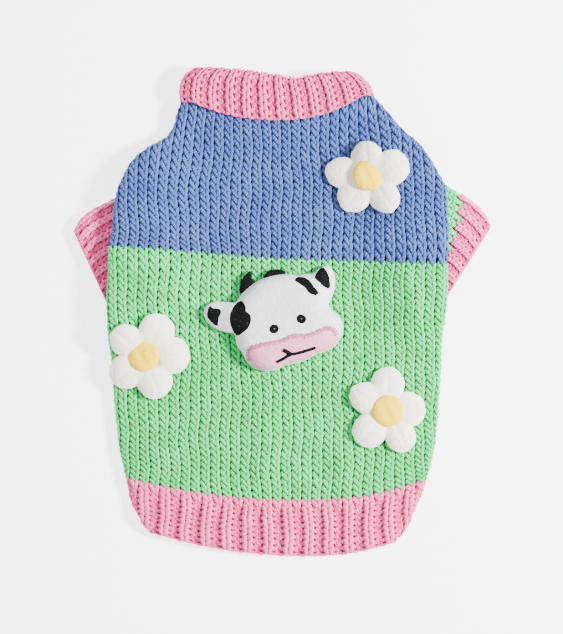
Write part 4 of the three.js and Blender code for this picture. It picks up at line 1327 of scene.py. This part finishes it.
def make_satin(name, places, count):
    """Short uneven stitches over the upper edge of a motif on the head."""
    places = np.array(places, dtype=float)
    steps = np.linspace(0, len(places) - 1, 20 * len(places))
    edge = np.stack([smooth_at(places[:, k], steps) for k in (0, 1)], axis=-1)
    length = np.concatenate([[0], np.cumsum(np.linalg.norm(np.diff(edge, axis=0), axis=1))])
    paths = []
    for place in np.linspace(0.2, length[-1] - 0.7, count) + chance.uniform(-0.2, 0.2, count):
        spot, after = (
            np.array([np.interp(at, length, edge[:, k]) for k in (0, 1)]) for at in (place, place + 0.5)
        )
        along = (after - spot) / np.linalg.norm(after - spot)
        outwards = np.array([-along[1], along[0]]) + chance.uniform(-0.25, 0.25) * along
        inner, outer = chance.uniform(0.75, 1.15, 2)
        spread = np.linspace(-SATIN_IN * inner, SATIN_OUT * outer, SATIN_POINTS)
        arch = SATIN_LIFT * np.linspace(1.3, 0.1, SATIN_POINTS)
        paths.append(np.concatenate([spot + spread[:, None] * outwards, arch[:, None]], axis=1))
    dress(yarn_tubes(name, paths, on_head, SATIN_YARN), SATIN, "pink_felt")


def make_horn(side, places):
    """Flat curved horn of felt that comes out from under the head."""
    shares, u, v = rings_within(places, HORN_RINGS)
    x, y = cow_world(u, v)
    puff = HORN_THICKNESS / 2 * puffed(shares, 4)
    base = cloth_under(x, y) + REST + HORN_THICKNESS / 2
    upper = np.stack([x, y, base + puff], axis=-1)
    lower = np.stack([x, y, base - puff], axis=-1)
    horn = dress(closed_rings(f"cow_horn_{side}_felt", upper, lower[:-1]), BLACK, "black_felt")
    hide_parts(f"cow_horn_{side}")


def make_head():
    def top(px, py, share):
        u, v = cow_local(px, py)
        return cow_top(u, v)

    def bottom(px, py, share):
        return cloth_under(px, py) + REST + COW_EDGE * share**4

    angles = COW_ANGLES + math.radians(COW_TURN)
    shares = ring_shares(0.02, HEAD_RINGS)
    head = ring_piece("cow_head_plush", (angles, COW_REACH), shares, top, bottom, (COW_X, COW_Y))
    dress(head, HEAD_WHITE, "white_plush")
    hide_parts("cow_head")


def make_cow():
    make_head()
    places = MUZZLE_TOP + MUZZLE_LOW
    muzzle = flat_motif("cow_muzzle_felt", places, MUZZLE_LIFT, MUZZLE, "pink_felt", MUZZLE_RINGS)
    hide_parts("cow_muzzle")
    make_satin("cow_muzzle_stitches", MUZZLE_TOP, SATIN_STITCHES)
    for side, place in COW_EYES.items():
        make_dot(f"cow_eye_{side}", place, EYE_RADIUS, EYE_LIFT)
        # painted highlight in the middle of the eye
        make_dot(f"cow_eye_highlight_{side}", place, HIGHLIGHT_RADIUS, HIGHLIGHT_LIFT, EYE_HIGHLIGHT)
    for name, outline in COW_PATCHES.items():
        flat_motif(f"cow_patch_{name}", outline, PATCH_LIFT)
    make_thread("cow_mouth", COW_MOUTH, MOUTH_YARN)
    make_thread("cow_nose", COW_NOSE, NOSE_YARN)
    make_dot("cow_nose_tip", NOSE_TIP, NOSE_TIP_RADIUS, NOSE_TIP_LIFT)
    for side, outline in COW_HORNS.items():
        make_horn(side, outline)


for daisy, ((daisy_x, daisy_y), daisy_petals) in DAISIES.items():
    make_petals(daisy, daisy_x, daisy_y, daisy_petals)
    make_centre(daisy, daisy_x, daisy_y)
make_cow()
make_back()
make_hem()
make_belly()
for sleeve_side, sleeve_form in SLEEVES.items():
    make_sleeve(sleeve_side, sleeve_form)
make_collar()


# Camera, light and floor

PHOTO_WIDTH, PHOTO_HEIGHT = 563, 634
ORIGIN_PIXEL = (282.5, 311)  # where the photo shows the origin
MM_PER_PIXEL = 0.52
CAMERA_HEIGHT = 1.3
SENSOR_WIDTH = 36
FLOOR_SIZE, FLOOR_SHADE = 4, 0.93
FLOOR_GLOW = 2.5  # the white paper is lit from below a little, which keeps shadows on it faint
LIGHTS = [
    # name, place, size, power
    ("key", (0.95, 0.04, 0.76), 0.2, 68.0),
    ("fill", (-0.8, 0.1, 0.8), 0.9, 8.0),
]


def make_floor():
    bpy.ops.object.select_all(action="DESELECT")
    bpy.ops.mesh.primitive_plane_add(size=FLOOR_SIZE, location=(0, 0, 0))
    floor = bpy.context.object
    floor.name = "floor"
    paper = Nodes("pale_floor", roughness=0.9)
    paper.shader.inputs["Emission Color"].default_value = (1, 1, 1, 1)
    paper.shader.inputs["Emission Strength"].default_value = FLOOR_GLOW
    shade = (FLOOR_SHADE, FLOOR_SHADE, FLOOR_SHADE, 1)
    floor.data.materials.append(paper.finish(shade, paper.bump(paper.noise(40.0), 0.0001)))


def make_camera():
    camera = bpy.data.objects.new("camera", bpy.data.cameras.new("camera"))
    bpy.context.scene.collection.objects.link(camera)
    camera.data.sensor_fit = "HORIZONTAL"
    camera.data.sensor_width = SENSOR_WIDTH
    camera.data.lens = SENSOR_WIDTH * CAMERA_HEIGHT / (PHOTO_WIDTH * MM_PER_PIXEL * MM)
    centre_x = (PHOTO_WIDTH / 2 - ORIGIN_PIXEL[0]) * MM_PER_PIXEL * MM
    centre_y = (ORIGIN_PIXEL[1] - PHOTO_HEIGHT / 2) * MM_PER_PIXEL * MM
    camera.location = (centre_x, centre_y, CAMERA_HEIGHT)
    bpy.context.scene.camera = camera


def make_lights():
    for name, place, size, power in LIGHTS:
        light = bpy.data.objects.new(name, bpy.data.lights.new(name, "AREA"))
        light.data.size = size
        light.data.energy = power
        light.location = place
        light.rotation_euler = (-light.location).to_track_quat("-Z", "Y").to_euler()
        bpy.context.scene.collection.objects.link(light)
    world = bpy.data.worlds.new("soft_light")
    world.use_nodes = True
    world.node_tree.nodes["Background"].inputs["Color"].default_value = (1, 1, 1, 1)
    world.node_tree.nodes["Background"].inputs["Strength"].default_value = 1.0
    bpy.context.scene.world = world


make_floor()
make_camera()
make_lights()
